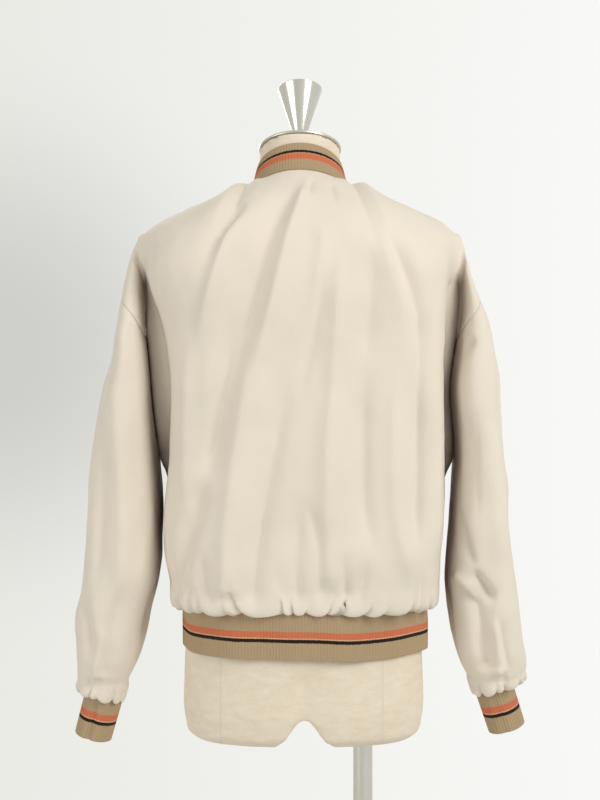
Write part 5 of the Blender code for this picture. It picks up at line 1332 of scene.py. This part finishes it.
def form_ring(z, count):
    """One level of the form's outline, leaning with the neck cap near its top."""
    names = ("side", "back", "front", "square")
    side, back, front, square = (float(read(FORM, name, z)) for name in names)
    turn = 2 * math.pi * np.arange(count) / count
    x = side * signed_power(np.sin(turn), 2 / square)
    y = np.where(np.cos(turn) > 0, back, front) * signed_power(np.cos(turn), 2 / square)
    groove = GROOVE_DEPTH * (1 - ramp(z, GROOVE_TOP_Z - GROOVE_FADE, GROOVE_TOP_Z))
    y = y - np.sign(y) * groove * np.exp(-(x / GROOVE_WIDTH) ** 2)
    neck_share = ramp(z, FORM_LEAN_LOW_Z, FORM_LEAN_HIGH_Z)
    centre = FORM_CENTRE_X * (1 - neck_share)
    return np.stack([x + centre, y, z + math.tan(CAP_TILT) * neck_share * y], axis=1)


def make_form():
    """The linen-covered torso: its lofted form, with the arch between the thighs cut away and
    every edge softened as cloth stretched over a padded body softens it."""
    levels = np.concatenate([np.linspace(FORM_BOTTOM_Z, 0.64, 10),
                             np.linspace(0.645, FORM_TOP_Z, 150)])
    rings = np.array([form_ring(z, FORM_COLUMNS) for z in levels])
    index = np.arange(len(levels) * FORM_COLUMNS).reshape(-1, FORM_COLUMNS)
    faces = grid_faces(index, closed=True)
    faces += [index[0].tolist(), index[-1][::-1].tolist()]
    form = solid_object("form_linen", rings.reshape(-1, 3), faces)
    dense = np.linspace(ARCH["height"][0], ARCH["height"][-1], 14)
    half = np.interp(dense, ARCH["height"], ARCH["half"])
    outline = [(ARCH_X + h, FORM_BOTTOM_Z + up) for h, up in zip(half, dense)]
    outline += [(ARCH_X - h, FORM_BOTTOM_Z + up) for h, up in zip(half[::-1], dense[::-1])]
    cutter = solid_object("arch_cut", *plate(outline, None, ARCH_CUT_DEPTH))
    cut = form.modifiers.new("arch", "BOOLEAN")
    cut.operation = "DIFFERENCE"
    cut.object = cutter
    cloth = form.modifiers.new("one skin", "REMESH")
    cloth.mode = "VOXEL"
    cloth.voxel_size = COVER_CELL
    soft = form.modifiers.new("stretched cloth", "SMOOTH")
    soft.factor = 0.5
    soft.iterations = COVER_SOFTENING
    bake(form)
    seat_under_cap(form)
    bpy.data.objects.remove(cutter, do_unlink=True)
    form.data.shade_smooth()
    return form


def seat_under_cap(form):
    """Draws the top of the neck's cover up against the underside of its cap."""
    lean = Matrix.Rotation(CAP_TILT, 3, "X")
    up = lean @ Vector((0.0, 0.0, 1.0))
    under = Vector((0.0, 0.0, CAP_Z)) - up * (CAP_THICKNESS / 2 + 0.0001)
    for vertex in form.data.vertices:
        below = (under - vertex.co).dot(up)
        if below < CAP_REACH:
            vertex.co += up * below * (1 - below / CAP_REACH)


def bake(made):
    """Puts a piece's modifiers into its mesh."""
    graph = bpy.context.evaluated_depsgraph_get()
    mesh = bpy.data.meshes.new_from_object(made.evaluated_get(graph))
    old = made.data
    made.modifiers.clear()
    made.data = mesh
    bpy.data.meshes.remove(old)


def lathe(name, profile, matrix, count=96, ring=False):
    """A turned piece from a profile of (radius, height), round its own axis."""
    points, faces, rows = [], [], []
    turns = [2 * math.pi * i / count for i in range(count)]
    for radius, z in profile:
        if radius < 1e-7:
            rows.append([len(points)] * count)
            points.append((0.0, 0.0, z))
            continue
        rows.append(list(range(len(points), len(points) + count)))
        points += [(radius * math.cos(turn), radius * math.sin(turn), z) for turn in turns]
    for low, high in zip(rows, rows[1:] + rows[:1] if ring else rows[1:]):
        for i in range(count):
            k = (i + 1) % count
            corners = list(dict.fromkeys((low[i], low[k], high[k], high[i])))
            if len(corners) > 2:
                faces.append(corners)
    return solid_object(name, [tuple(matrix @ Vector(p)) for p in points], faces)


def arc(centre, radius, start, end, count=7):
    """Points of a rounded edge, from one angle to another in degrees."""
    turns = np.radians(np.linspace(start, end, count))
    return [(centre[0] + radius * math.cos(t), centre[1] + radius * math.sin(t)) for t in turns]


def upper_edge(radius, z, edge, end=0, count=7):
    """The rounded upper edge of a turned piece."""
    return arc((radius - edge, z - edge), edge, 90, end, count)


def lower_edge(radius, z, edge, count=7):
    return arc((radius - edge, z + edge), edge, 0, -90, count)


def make_stand():
    """Cap, finial, pole, socket and base plate, turned from steel with broken edges."""
    head = Matrix.Translation((0.0, 0.0, CAP_Z)) @ Matrix.Rotation(CAP_TILT, 4, "X")
    at_pole = Matrix.Translation((POLE_X, 0.0, 0.0))
    cap = CAP_THICKNESS / 2
    foot = cap + SEAM
    tip, neck = foot + FINIAL_HEIGHT, foot + FINIAL_FOOT_HEIGHT
    low, high = BASE_THICKNESS + SEAM, FORM_BOTTOM_Z + POLE_SOCKET_DEPTH - SEAM
    inside, socket_z = POLE_RADIUS + SEAM, low + SOCKET_HEIGHT
    turned = (
        ("neck_cap", [(0.0, cap), *upper_edge(CAP_RADIUS, cap, CAP_EDGE),
                      *lower_edge(CAP_RADIUS, -cap, CAP_EDGE), (0.0, -cap)], head, 128, False),
        ("finial", [(0.0, tip), (FINIAL_TOP_RADIUS * 0.6, tip - 0.0001),
                    *upper_edge(FINIAL_TOP_RADIUS, tip, FINIAL_EDGE, -18, 9),
                    (FINIAL_FOOT_RADIUS + 0.0005, neck + 0.0004),
                    (FINIAL_FOOT_RADIUS, neck - 0.0006), (FINIAL_FOOT_RADIUS, foot),
                    (0.0, foot)], head, 128, False),
        ("pole", [(0.0, high), *upper_edge(POLE_RADIUS, high, POLE_EDGE),
                  *lower_edge(POLE_RADIUS, low, POLE_EDGE), (0.0, low)], at_pole, 96, False),
        ("base_plate", [(0.0, BASE_THICKNESS),
                        *upper_edge(BASE_RADIUS, BASE_THICKNESS, BASE_EDGE),
                        *lower_edge(BASE_RADIUS, 0.0, BASE_FOOT_EDGE, 4), (0.0, 0.0)],
         Matrix.Identity(4), 192, False),
        ("pole_socket", [(inside, socket_z), *upper_edge(SOCKET_RADIUS, socket_z, SOCKET_EDGE),
                         (SOCKET_RADIUS, low), (inside, low)], at_pole, 96, True),
    )
    return {node: lathe(node + "_steel", *rest) for node, *rest in turned}


# ---------------------------------------------------------------- materials
def linear(code):
    """A linear colour from an sRGB hex value."""
    parts = [int(code[i:i + 2], 16) / 255 for i in (1, 3, 5)]
    return tuple(c / 12.92 if c <= 0.04045 else ((c + 0.055) / 1.055) ** 2.4 for c in parts)


def new_material(name, **surface):
    """A material with its shader's own settings, and its node tree and shader."""
    made = bpy.data.materials.new(name)
    made.use_nodes = True
    tree = made.node_tree
    shader = tree.nodes["Principled BSDF"]
    for key, value in surface.items():
        shader.inputs[key.replace("_", " ")].default_value = value
    return made, tree, shader


# Sizes of the patterns, in metres.
COTTON_THREAD = 0.0009
LINEN_THREAD = 0.0012
LINEN_SEAMS = (-0.110, 0.106)
LINEN_SEAM_WIDTH = 0.0016
STITCH = 0.0014
STRIPE_WANDER = 0.0007
STRIPE_BLUR = 0.0035         # of the stripes' ramp, which runs over a tenth of a metre
TAPE_FOLD = 0.0012
TAPE_THREAD = 0.0008


def opaque(colour, *shares):
    """A colour with its alpha, its parts taken down to one share or to three of them."""
    shares = shares * 3 if len(shares) == 1 else shares or (1, 1, 1)
    return (*(part * share for part, share in zip(colour, shares)), 1)


def set_stops(shades, *marks):
    """Colours blended along a value: each mark is a place and its colour, in order."""
    stops = shades.color_ramp.elements
    for stop, (place, colour) in zip(stops, (marks[0], marks[-1])):
        stop.position, stop.color = place, colour
    for place, colour in marks[1:-1]:
        stops.new(place).color = colour


def add(tree, kind, links=(), **settings):
    """Adds a node. Settings name its properties or its inputs (i0, i1 by number), and links
    are pairs of an input and the output that feeds it."""
    made = tree.nodes.new("ShaderNode" + kind)
    for key, value in settings.items():
        if key[0] == "i" and key[1:].isdigit():
            made.inputs[int(key[1:])].default_value = value
        elif hasattr(made, key):
            setattr(made, key, value)
        else:
            made.inputs[key.replace("_", " ")].default_value = value
    for where, source in links:
        tree.links.new(source, made.inputs[where])
    return made


def woven_cotton(colours):
    """Plain-woven cotton poplin, proofed and pressed: matt, with a fine even thread and a faint
    tone that is darker in soft random clouds; between two layers of cloth a painted shade darkens
    and browns its colour, for the light lost there and each bounce that takes up the cloth's own
    colour. The thread, 0.25 mm apart in the real one, is drawn at 0.9 mm so that it shows."""
    made, tree, shader = new_material("woven cotton poplin", Roughness=0.78, Sheen_Weight=0.12,
                                      Sheen_Roughness=0.5)
    cut = add(tree, "UVMap", uv_map="cut")
    place = add(tree, "TexCoord")
    split = add(tree, "SeparateXYZ", [(0, cut.outputs["UV"])])
    threads = []
    for axis in ("X", "Y"):
        spin = add(tree, "Math", [(0, split.outputs[axis])], operation="MULTIPLY",
                   i1=2 * math.pi / COTTON_THREAD)
        threads.append(add(tree, "Math", [(0, spin.outputs[0])], operation="SINE"))
    weave = add(tree, "Math", [(i, thread.outputs[0]) for i, thread in enumerate(threads)],
                operation="MULTIPLY")
    slub = add(tree, "TexNoise", [("Vector", cut.outputs["UV"])], Scale=420.0, Detail=3.0,
               Roughness=0.6)
    cloud = add(tree, "TexNoise", [("Vector", place.outputs["Object"])], Scale=9.0, Detail=4.0,
                Roughness=0.55)
    shade = add(tree, "ValToRGB", [("Fac", cloud.outputs["Fac"])])
    set_stops(shade, (0.30, opaque(colours.cloth, 0.93)), (0.70, opaque(colours.cloth)))
    # Painted shade: where little is open round a place within 62 mm, as between two layers of
    # cloth, the base colour is darkened and browned towards 0.30, 0.22 and 0.18 of its own parts.
    open_sky = add(tree, "AmbientOcclusion", samples=8, Distance=0.062)
    painted_crease_shade = add(tree, "MapRange", [("Value", open_sky.outputs["AO"])], From_Min=0.08, From_Max=0.36,
               To_Min=1.0, To_Max=0.0)
    deep = add(tree, "Mix", [(0, painted_crease_shade.outputs["Result"]), (6, shade.outputs["Color"])],
               data_type="RGBA", i7=opaque(colours.cloth, 0.30, 0.22, 0.18))
    tree.links.new(deep.outputs[2], shader.inputs["Base Color"])
    height = add(tree, "Math", [(0, weave.outputs[0]), (1, slub.outputs["Fac"])], operation="ADD")
    bump = add(tree, "Bump", [("Height", height.outputs[0])], Strength=0.16, Distance=0.0002)
    tree.links.new(bump.outputs["Normal"], shader.inputs["Normal"])
    return made


def rib_knit(colours, stripes):
    """Two-colour wool rib, knitted tubular and folded: hairy and matt, each stitch a small V
    1.4 mm wide and high, with its stripes knitted in."""
    made, tree, shader = new_material("wool rib knit " + stripes, Roughness=0.9, Sheen_Weight=0.08,
                                      Specular_IOR_Level=0.2, Sheen_Roughness=0.6)
    cut = add(tree, "UVMap", uv_map="cut")
    split = add(tree, "SeparateXYZ", [(0, cut.outputs["UV"])])
    wander = add(tree, "TexNoise", [("Vector", cut.outputs["UV"])], Scale=260.0, Detail=2.0,
                 Roughness=0.6)
    shift = add(tree, "MapRange", [("Value", wander.outputs["Fac"])], From_Min=0.0, From_Max=1.0,
                To_Min=-STRIPE_WANDER, To_Max=STRIPE_WANDER)
    height = add(tree, "Math", [(0, split.outputs["Y"]), (1, shift.outputs["Result"])],
                 operation="ADD")
    scaled = add(tree, "Math", [(0, height.outputs[0])], operation="MULTIPLY", i1=10.0)
    bands = add(tree, "ValToRGB", [("Fac", scaled.outputs[0])])
    before = opaque(colours.knit)
    marks = [(0.0, before)]
    for start, end, name in sorted((*span, name) for name, span in STRIPES[stripes].items()):
        colour = opaque(getattr(colours, "stripe_" + name))
        marks += [(start / 100 - STRIPE_BLUR, before), (start / 100 + STRIPE_BLUR, colour)]
        before = colour
    marks += [(end / 100 - STRIPE_BLUR, before), (end / 100 + STRIPE_BLUR, opaque(colours.knit))]
    set_stops(bands, *marks)
    yarn = add(tree, "TexNoise", [("Vector", cut.outputs["UV"])], Scale=900.0, Detail=2.0,
               Roughness=0.7)
    fleck = add(tree, "MapRange", [("Value", yarn.outputs["Fac"])], From_Min=0.3, From_Max=0.7,
                To_Min=0.82, To_Max=1.12)
    worn = add(tree, "Mix", [(6, bands.outputs["Color"]), (7, fleck.outputs["Result"])],
               data_type="RGBA", blend_type="MULTIPLY", i0=1.0)
    tree.links.new(worn.outputs[2], shader.inputs["Base Color"])
    across = add(tree, "Math", [(0, split.outputs["X"])], operation="PINGPONG", i1=STITCH / 2)
    lean = add(tree, "Math", [(0, across.outputs[0]), (1, split.outputs["Y"])], operation="ADD")
    spin = add(tree, "Math", [(0, lean.outputs[0])], operation="MULTIPLY",
               i1=2 * math.pi / STITCH)
    stitch = add(tree, "Math", [(0, spin.outputs[0])], operation="SINE")
    rough = add(tree, "Math", [(0, stitch.outputs[0]), (1, yarn.outputs["Fac"])], operation="ADD")
    bump = add(tree, "Bump", [("Height", rough.outputs[0])], Strength=0.35, Distance=0.0003)
    tree.links.new(bump.outputs["Normal"], shader.inputs["Normal"])
    return made


def form_linen(colours):
    """Half-bleached linen stretched over padding: dry, clouded and slubbed, its threads 0.6 mm
    apart drawn at 1.2 mm, with two princess seams drawn as fine shaded grooves."""
    made, tree, shader = new_material("stretched linen", Roughness=0.88, Sheen_Weight=0.10)
    place = add(tree, "TexCoord")
    split = add(tree, "SeparateXYZ", [(0, place.outputs["Object"])])
    waves = []
    for axis in ("X", "Z"):
        spin = add(tree, "Math", [(0, split.outputs[axis])], operation="MULTIPLY",
                   i1=2 * math.pi / LINEN_THREAD)
        waves.append(add(tree, "Math", [(0, spin.outputs[0])], operation="SINE"))
    weave = add(tree, "Math", [(i, wave.outputs[0]) for i, wave in enumerate(waves)],
                operation="MULTIPLY")
    slub = add(tree, "TexNoise", [("Vector", place.outputs["Object"])], Scale=300.0, Detail=4.0,
               Roughness=0.65)
    long = add(tree, "Mapping", [("Vector", place.outputs["Object"])], Scale=(0.45, 0.45, 1.1))
    cloud = add(tree, "TexNoise", [("Vector", long.outputs["Vector"])], Scale=95.0, Detail=5.0,
                Roughness=0.7)
    lines = []
    for x in LINEN_SEAMS:
        gap = add(tree, "Math", [(0, split.outputs["X"])], operation="SUBTRACT", i1=x)
        size = add(tree, "Math", [(0, gap.outputs[0])], operation="ABSOLUTE")
        lines.append(add(tree, "MapRange", [("Value", size.outputs[0])], From_Min=0.0,
                         From_Max=LINEN_SEAM_WIDTH, To_Min=1.0, To_Max=0.0))
    grooves = add(tree, "Math", [(i, line.outputs[0]) for i, line in enumerate(lines)],
                  operation="MAXIMUM")
    tint = add(tree, "ValToRGB", [("Fac", cloud.outputs["Fac"])])
    set_stops(tint, (0.30, opaque(colours.linen, 0.90, 0.86, 0.78)), (0.70, opaque(colours.linen)))
    seam = add(tree, "Mix", [(0, grooves.outputs[0]), (6, tint.outputs["Color"])], data_type="RGBA",
               i7=opaque(colours.linen, 0.84))
    tree.links.new(seam.outputs[2], shader.inputs["Base Color"])
    deep = add(tree, "Math", [(0, grooves.outputs[0])], operation="MULTIPLY", i1=-1.4)
    height = add(tree, "Math", [(0, weave.outputs[0]), (1, slub.outputs["Fac"])], operation="ADD")
    total = add(tree, "Math", [(0, height.outputs[0]), (1, deep.outputs[0])], operation="ADD")
    bump = add(tree, "Bump", [("Height", total.outputs[0])], Strength=0.22, Distance=0.0003)
    tree.links.new(bump.outputs["Normal"], shader.inputs["Normal"])
    return made


def satin_steel(colours, name, roughness, stretch):
    """Steel, turned and then brushed round: soft long reflections, broken by hairline marks
    0.4 mm apart, with a little duller where hands have held it."""
    made, tree, shader = new_material(name, Metallic=1.0, Base_Color=opaque(colours.steel))
    place = add(tree, "TexCoord")
    along = add(tree, "Mapping", [("Vector", place.outputs["Object"])], Scale=stretch)
    marks = add(tree, "TexNoise", [("Vector", along.outputs["Vector"])], Scale=1.0, Detail=4.0,
                Roughness=0.6)
    smear = add(tree, "TexNoise", [("Vector", place.outputs["Object"])], Scale=22.0, Detail=2.0)
    both = add(tree, "Math", [(0, marks.outputs["Fac"]), (1, smear.outputs["Fac"])],
               operation="ADD")
    dull = add(tree, "MapRange", [("Value", both.outputs[0])], From_Min=0.6, From_Max=1.4,
               To_Min=roughness - 0.05, To_Max=roughness + 0.07)
    tree.links.new(dull.outputs["Result"], shader.inputs["Roughness"])
    bump = add(tree, "Bump", [("Height", marks.outputs["Fac"])], Strength=0.05, Distance=0.0002)
    tree.links.new(bump.outputs["Normal"], shader.inputs["Normal"])
    return made


def zip_brass(colours):
    """Brass, pressed, tumbled and aged: warm and a little cloudy, darker in small random patches.
    """
    made, tree, shader = new_material("aged pressed brass", Metallic=1.0)
    place = add(tree, "TexCoord")
    cloud = add(tree, "TexNoise", [("Vector", place.outputs["Object"])], Scale=700.0, Detail=4.0)
    tint = add(tree, "ValToRGB", [("Fac", cloud.outputs["Fac"])])
    set_stops(tint, (0.32, opaque(colours.brass, 0.62)), (0.62, opaque(colours.brass)))
    tree.links.new(tint.outputs["Color"], shader.inputs["Base Color"])
    dull = add(tree, "MapRange", [("Value", cloud.outputs["Fac"])], To_Min=0.24, To_Max=0.46)
    tree.links.new(dull.outputs["Result"], shader.inputs["Roughness"])
    return made


def zip_tape(colours):
    """Cotton zip tape, woven in a herringbone 1.2 mm across: flat, dry and a shade deeper
    than the cloth."""
    made, tree, shader = new_material("woven cotton tape", Roughness=0.85)
    cut = add(tree, "UVMap", uv_map="cut")
    split = add(tree, "SeparateXYZ", [(0, cut.outputs["UV"])])
    fold = add(tree, "Math", [(0, split.outputs["X"])], operation="PINGPONG", i1=TAPE_FOLD)
    lean = add(tree, "Math", [(0, fold.outputs[0]), (1, split.outputs["Y"])], operation="ADD")
    spin = add(tree, "Math", [(0, lean.outputs[0])], operation="MULTIPLY",
               i1=2 * math.pi / TAPE_THREAD)
    twill = add(tree, "Math", [(0, spin.outputs[0])], operation="SINE")
    tint = add(tree, "MapRange", [("Value", twill.outputs[0])], From_Min=-1.0, To_Min=0.0,
               To_Max=1.0)
    shade = add(tree, "Mix", [(0, tint.outputs["Result"])], data_type="RGBA",
                i6=opaque(colours.tape, 0.85), i7=opaque(colours.tape))
    tree.links.new(shade.outputs[2], shader.inputs["Base Color"])
    bump = add(tree, "Bump", [("Height", twill.outputs[0])], Strength=0.3, Distance=0.0002)
    tree.links.new(bump.outputs["Normal"], shader.inputs["Normal"])
    return made


def studio_floor(colours):
    """Painted board: an even matt coat with a faint roller grain."""
    made, tree, shader = new_material("painted board", Roughness=0.7,
                                      Base_Color=opaque(colours.floor))
    place = add(tree, "TexCoord")
    grain = add(tree, "TexNoise", [("Vector", place.outputs["Object"])], Scale=160.0, Detail=2.0)
    bump = add(tree, "Bump", [("Height", grain.outputs["Fac"])], Strength=0.08, Distance=0.0005)
    tree.links.new(bump.outputs["Normal"], shader.inputs["Normal"])
    return made


def dress(made, finish):
    """Gives a piece its finish."""
    made.data.materials.clear()
    made.data.materials.append(finish)


# ---------------------------------------------------------------- sizes and colours to change
def length(name, text, value, low, high):
    return FloatProperty(name=name, description=text, default=value, min=low, max=high,
                         subtype="DISTANCE", unit="LENGTH", precision=4)


def tint(name, text, code):
    return FloatVectorProperty(name=name, description=text, default=linear(code), size=3,
                               min=0.0, max=1.0, subtype="COLOR")


class JacketSizes(bpy.types.PropertyGroup):
    cloth_thickness: length("Cloth", "Thickness of the cloth with its lining", 0.0010, 0.0004,
                            0.003)
    rib_pitch: length("Rib pitch", "Width of one rib of the knit bands", 0.0042, 0.002, 0.009)
    rib_height: length("Rib height", "How far the ribs stand out", 0.0008, 0.0, 0.002)
    fold_depth: FloatProperty(name="Fold depth", description="Depth of the creases placed by hand",
                              default=1.3, min=0.0, max=2.0, subtype="FACTOR")
    wrinkle: FloatProperty(name="Wrinkles", description="Strength of the small uneven waves",
                           default=1.0, min=0.0, max=2.0, subtype="FACTOR")


class JacketColours(bpy.types.PropertyGroup):
    cloth: tint("Cloth", "Cream cotton of the body and sleeves", "#E4DCCE")
    knit: tint("Knit", "Ground of the collar, cuffs and hem band", "#B09A7A")
    stripe_bright: tint("Bright stripe", "Widest stripe of the bands", "#CC7450")
    stripe_pale: tint("Pale stripe", "Thin stripe between the other two", "#DDB48F")
    stripe_dark: tint("Dark stripe", "Narrow dark stripe of the bands", "#1F1009")
    linen: tint("Linen", "Cover of the dress form", "#E8DFCF")
    steel: tint("Steel", "Cap, finial, pole and base", "#C9C7BE")
    brass: tint("Brass", "Zip teeth, slider and tab", "#B59A62")
    tape: tint("Tape", "Zip tape", "#C2B18F")
    floor: tint("Floor", "Studio floor", "#E4E3DE")


def settings():
    return bpy.context.scene.jacket_sizes, bpy.context.scene.jacket_colours


# ---------------------------------------------------------------- operators
class JACKET_OT_body(bpy.types.Operator):
    """Make the back and both fronts of woven cotton"""
    bl_idname = "jacket.body"
    bl_label = "Body"

    def execute(self, context):
        sizes, colours = settings()
        finish = woven_cotton(colours)
        panels = (("back", [(1, 1), (-1, 1)], BACK_FOLDS, (0.60, 0.66), 0.335),
                  ("front_left", [(1, -1)], FRONT_FOLDS, (0.32, 0.62), 0.160),
                  ("front_right", [(-1, -1)], FRONT_FOLDS, (0.32, 0.62), 0.160))
        for node, halves, folds, flat, area in panels:
            made = make_panel(node + "_cotton", halves, folds, sizes)
            dress(made, finish)
            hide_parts(node)
        return {"FINISHED"}


class JACKET_OT_sleeves(bpy.types.Operator):
    """Make both sleeves of woven cotton"""
    bl_idname = "jacket.sleeves"
    bl_label = "Sleeves"

    def execute(self, context):
        sizes, colours = settings()
        finish = bpy.data.materials.get("woven cotton poplin") or woven_cotton(colours)
        for side, folds in ((1, SLEEVE_BACK_LEFT), (-1, SLEEVE_BACK_RIGHT)):
            node = "sleeve_" + CUFFS[side]["name"]
            made = make_sleeve(node + "_cotton", side, folds, sizes)
            dress(made, finish)
            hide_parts(node)
        return {"FINISHED"}


class JACKET_OT_bands(bpy.types.Operator):
    """Make the collar, cuffs and hem band of striped rib knit"""
    bl_idname = "jacket.bands"
    bl_label = "Rib bands"

    def execute(self, context):
        sizes, colours = settings()
        for node, made in make_bands(sizes).items():
            stripes = "cuff" if node.startswith("cuff") else node
            name = "wool rib knit " + stripes
            finish = bpy.data.materials.get(name) or rib_knit(colours, stripes)
            dress(made, finish)
            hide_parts(node)
        return {"FINISHED"}


class JACKET_OT_zip(bpy.types.Operator):
    """Make the zip's tapes, teeth, slider and pull tab"""
    bl_idname = "jacket.zip"
    bl_label = "Zip"

    def execute(self, context):
        _, colours = settings()
        line, outs = centre_front()
        tapes, teeth = make_zip_tapes(line, outs), make_zip_teeth(line, outs)
        slider, tab = make_slider(line, outs)
        metal = zip_brass(colours)
        dress(tapes, zip_tape(colours))
        for made in (teeth, slider, tab):
            dress(made, metal)
        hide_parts("zip")
        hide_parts("zip_slider")
        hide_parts("pull_tab")
        return {"FINISHED"}


class JACKET_OT_form(bpy.types.Operator):
    """Make the linen-covered torso"""
    bl_idname = "jacket.form"
    bl_label = "Dress form"

    def execute(self, context):
        _, colours = settings()
        made = make_form()
        dress(made, form_linen(colours))
        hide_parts("dress_form")
        return {"FINISHED"}


class JACKET_OT_stand(bpy.types.Operator):
    """Turn the cap, finial, pole, socket and base plate of steel"""
    bl_idname = "jacket.stand"
    bl_label = "Stand"

    def execute(self, context):
        _, colours = settings()
        finishes = {
            "finial": satin_steel(colours, "turned bright steel", 0.17, (60, 60, 2500)),
            "neck_cap": satin_steel(colours, "brushed steel", 0.26, (60, 2500, 60)),
            "pole": satin_steel(colours, "satin steel tube", 0.30, (60, 60, 2500)),
        }
        for node, made in make_stand().items():
            dress(made, finishes.get(node, finishes["pole"]))
            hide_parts(node)
        return {"FINISHED"}


def area_light(name, place, target, size, watts, code):
    light = bpy.data.lights.new(name, "AREA")
    light.shape = "RECTANGLE"
    light.size, light.size_y = size
    light.energy = watts
    light.color = linear(code)
    made = bpy.data.objects.new(name, light)
    made.location = place
    made.rotation_euler = (Vector(target) - Vector(place)).to_track_quat("-Z", "Y").to_euler()
    bpy.context.scene.collection.objects.link(made)
    return made


def studio_world():
    """Pale surroundings. What the camera and the steel see is a backdrop painted a little darker
    and greener on the camera's left and white on its right, as painted light falling from the
    right, with a painted shadow on it at its left. The cloth is lit by a warmer and dimmer room,
    brighter on the camera's right."""
    world = bpy.data.worlds.new("pale studio")
    world.use_nodes = True
    tree = world.node_tree
    place = add(tree, "TexCoord")
    split = add(tree, "SeparateXYZ", [(0, place.outputs["Generated"])])
    # Painted light falloff: the backdrop's colour is painted darker and greener towards the
    # camera's left, white towards its right.
    share = add(tree, "MapRange", [("Value", split.outputs["X"])], From_Min=0.24, From_Max=-0.24)
    backdrop_painted_falloff = add(tree, "Mix", [(0, share.outputs["Result"])], data_type="RGBA",
               i6=(*linear("#E9EAE4"), 1), i7=(*linear("#F9F9F7"), 1))
    # Painted shadow: a soft darker patch on the backdrop at the camera's left, seen by the camera
    # and in the steel.
    away = add(tree, "VectorMath", [(0, place.outputs["Generated"])], operation="DISTANCE",
               i1=(0.23, -0.97, 0.04))
    shade = add(tree, "MapRange", [("Value", away.outputs["Value"])],
                interpolation_type="SMOOTHSTEP", From_Min=0.02, From_Max=0.24, To_Min=0.76,
                To_Max=1.0)
    ray = add(tree, "LightPath")
    seen = add(tree, "Math", [(0, ray.outputs["Is Camera Ray"]), (1, ray.outputs["Is Glossy Ray"])],
               operation="MAXIMUM")
    room = add(tree, "MapRange", [("Value", split.outputs["X"])], From_Min=-0.35, From_Max=0.55,
               To_Min=0.62, To_Max=0.42)
    colour = add(tree, "Mix", [(0, seen.outputs[0]), (7, backdrop_painted_falloff.outputs[2])],
                 data_type="RGBA", i6=(*linear("#F3F0EB"), 1))
    strength = add(tree, "Mix", [(0, seen.outputs[0]), (2, room.outputs["Result"]),
                                 (3, shade.outputs["Result"])], data_type="FLOAT")
    tree.links.new(colour.outputs[2], tree.nodes["Background"].inputs["Color"])
    tree.links.new(strength.outputs[0], tree.nodes["Background"].inputs["Strength"])
    bpy.context.scene.world = world


# The lights: name, place, target, width and height, watts, colour.
LIGHTS = (
    ("window light", (-2.0, 2.0, 2.5), (0.0, 0.0, 1.05), (1.3, 1.7), 58.0, "#FFFCF7"),
    ("soft fill", (2.3, 1.6, 1.5), (0.0, 0.0, 1.0), (1.6, 1.8), 29.0, "#FFFBF6"),
    ("front fill", (0.6, -2.4, 2.2), (0.0, 0.0, 1.05), (1.6, 1.6), 24.0, "#FFFDF8"),
)
FLOOR_PROFILE = [(0.0, -0.0002), (1.44, -0.0002), (1.45, -0.0012), (1.45, -0.012), (0.0, -0.012)]
CAMERA_PLACE = (0.0, 1.75, 1.08)
CAMERA_LENS = 56.25
CAMERA_SENSOR = 36.0


class JACKET_OT_stage(bpy.types.Operator):
    """Set the floor, the lights and the camera"""
    bl_idname = "jacket.stage"
    bl_label = "Studio"

    def execute(self, context):
        _, colours = settings()
        floor = lathe("studio_floor", FLOOR_PROFILE, Matrix.Identity(4), 128)
        floor.data.materials.append(studio_floor(colours))
        for light in LIGHTS:
            area_light(*light)
        studio_world()
        context.scene.view_settings.view_transform = "Standard"
        camera = bpy.data.objects.new("photo_camera", bpy.data.cameras.new("photo_camera"))
        camera.data.lens = CAMERA_LENS
        camera.data.sensor_width = CAMERA_SENSOR
        camera.location = CAMERA_PLACE
        camera.rotation_euler = (math.pi / 2, 0.0, math.pi)
        bpy.context.scene.collection.objects.link(camera)
        bpy.context.scene.camera = camera
        return {"FINISHED"}


class JACKET_PT_panel(bpy.types.Panel):
    bl_label = "Monkey jacket"
    bl_idname = "JACKET_PT_panel"
    bl_space_type = "VIEW_3D"
    bl_region_type = "UI"
    bl_category = "Jacket"

    def draw(self, context):
        for name in STEPS:
            self.layout.operator("jacket." + name)
        for group in settings():
            for key in group.__annotations__:
                self.layout.prop(group, key)


STEPS = ("body", "sleeves", "bands", "zip", "form", "stand", "stage")
CLASSES = (JacketSizes, JacketColours, JACKET_OT_body, JACKET_OT_sleeves, JACKET_OT_bands,
           JACKET_OT_zip, JACKET_OT_form, JACKET_OT_stand, JACKET_OT_stage, JACKET_PT_panel)


def register():
    for each in CLASSES:
        bpy.utils.register_class(each)
    bpy.types.Scene.jacket_sizes = PointerProperty(type=JacketSizes)
    bpy.types.Scene.jacket_colours = PointerProperty(type=JacketColours)


def unregister():
    del bpy.types.Scene.jacket_colours
    del bpy.types.Scene.jacket_sizes
    for each in reversed(CLASSES):
        bpy.utils.unregister_class(each)


def main():
    register()
    for name in STEPS:
        getattr(bpy.ops.jacket, name)()
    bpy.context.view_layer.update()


if __name__ == "__main__":
    main()
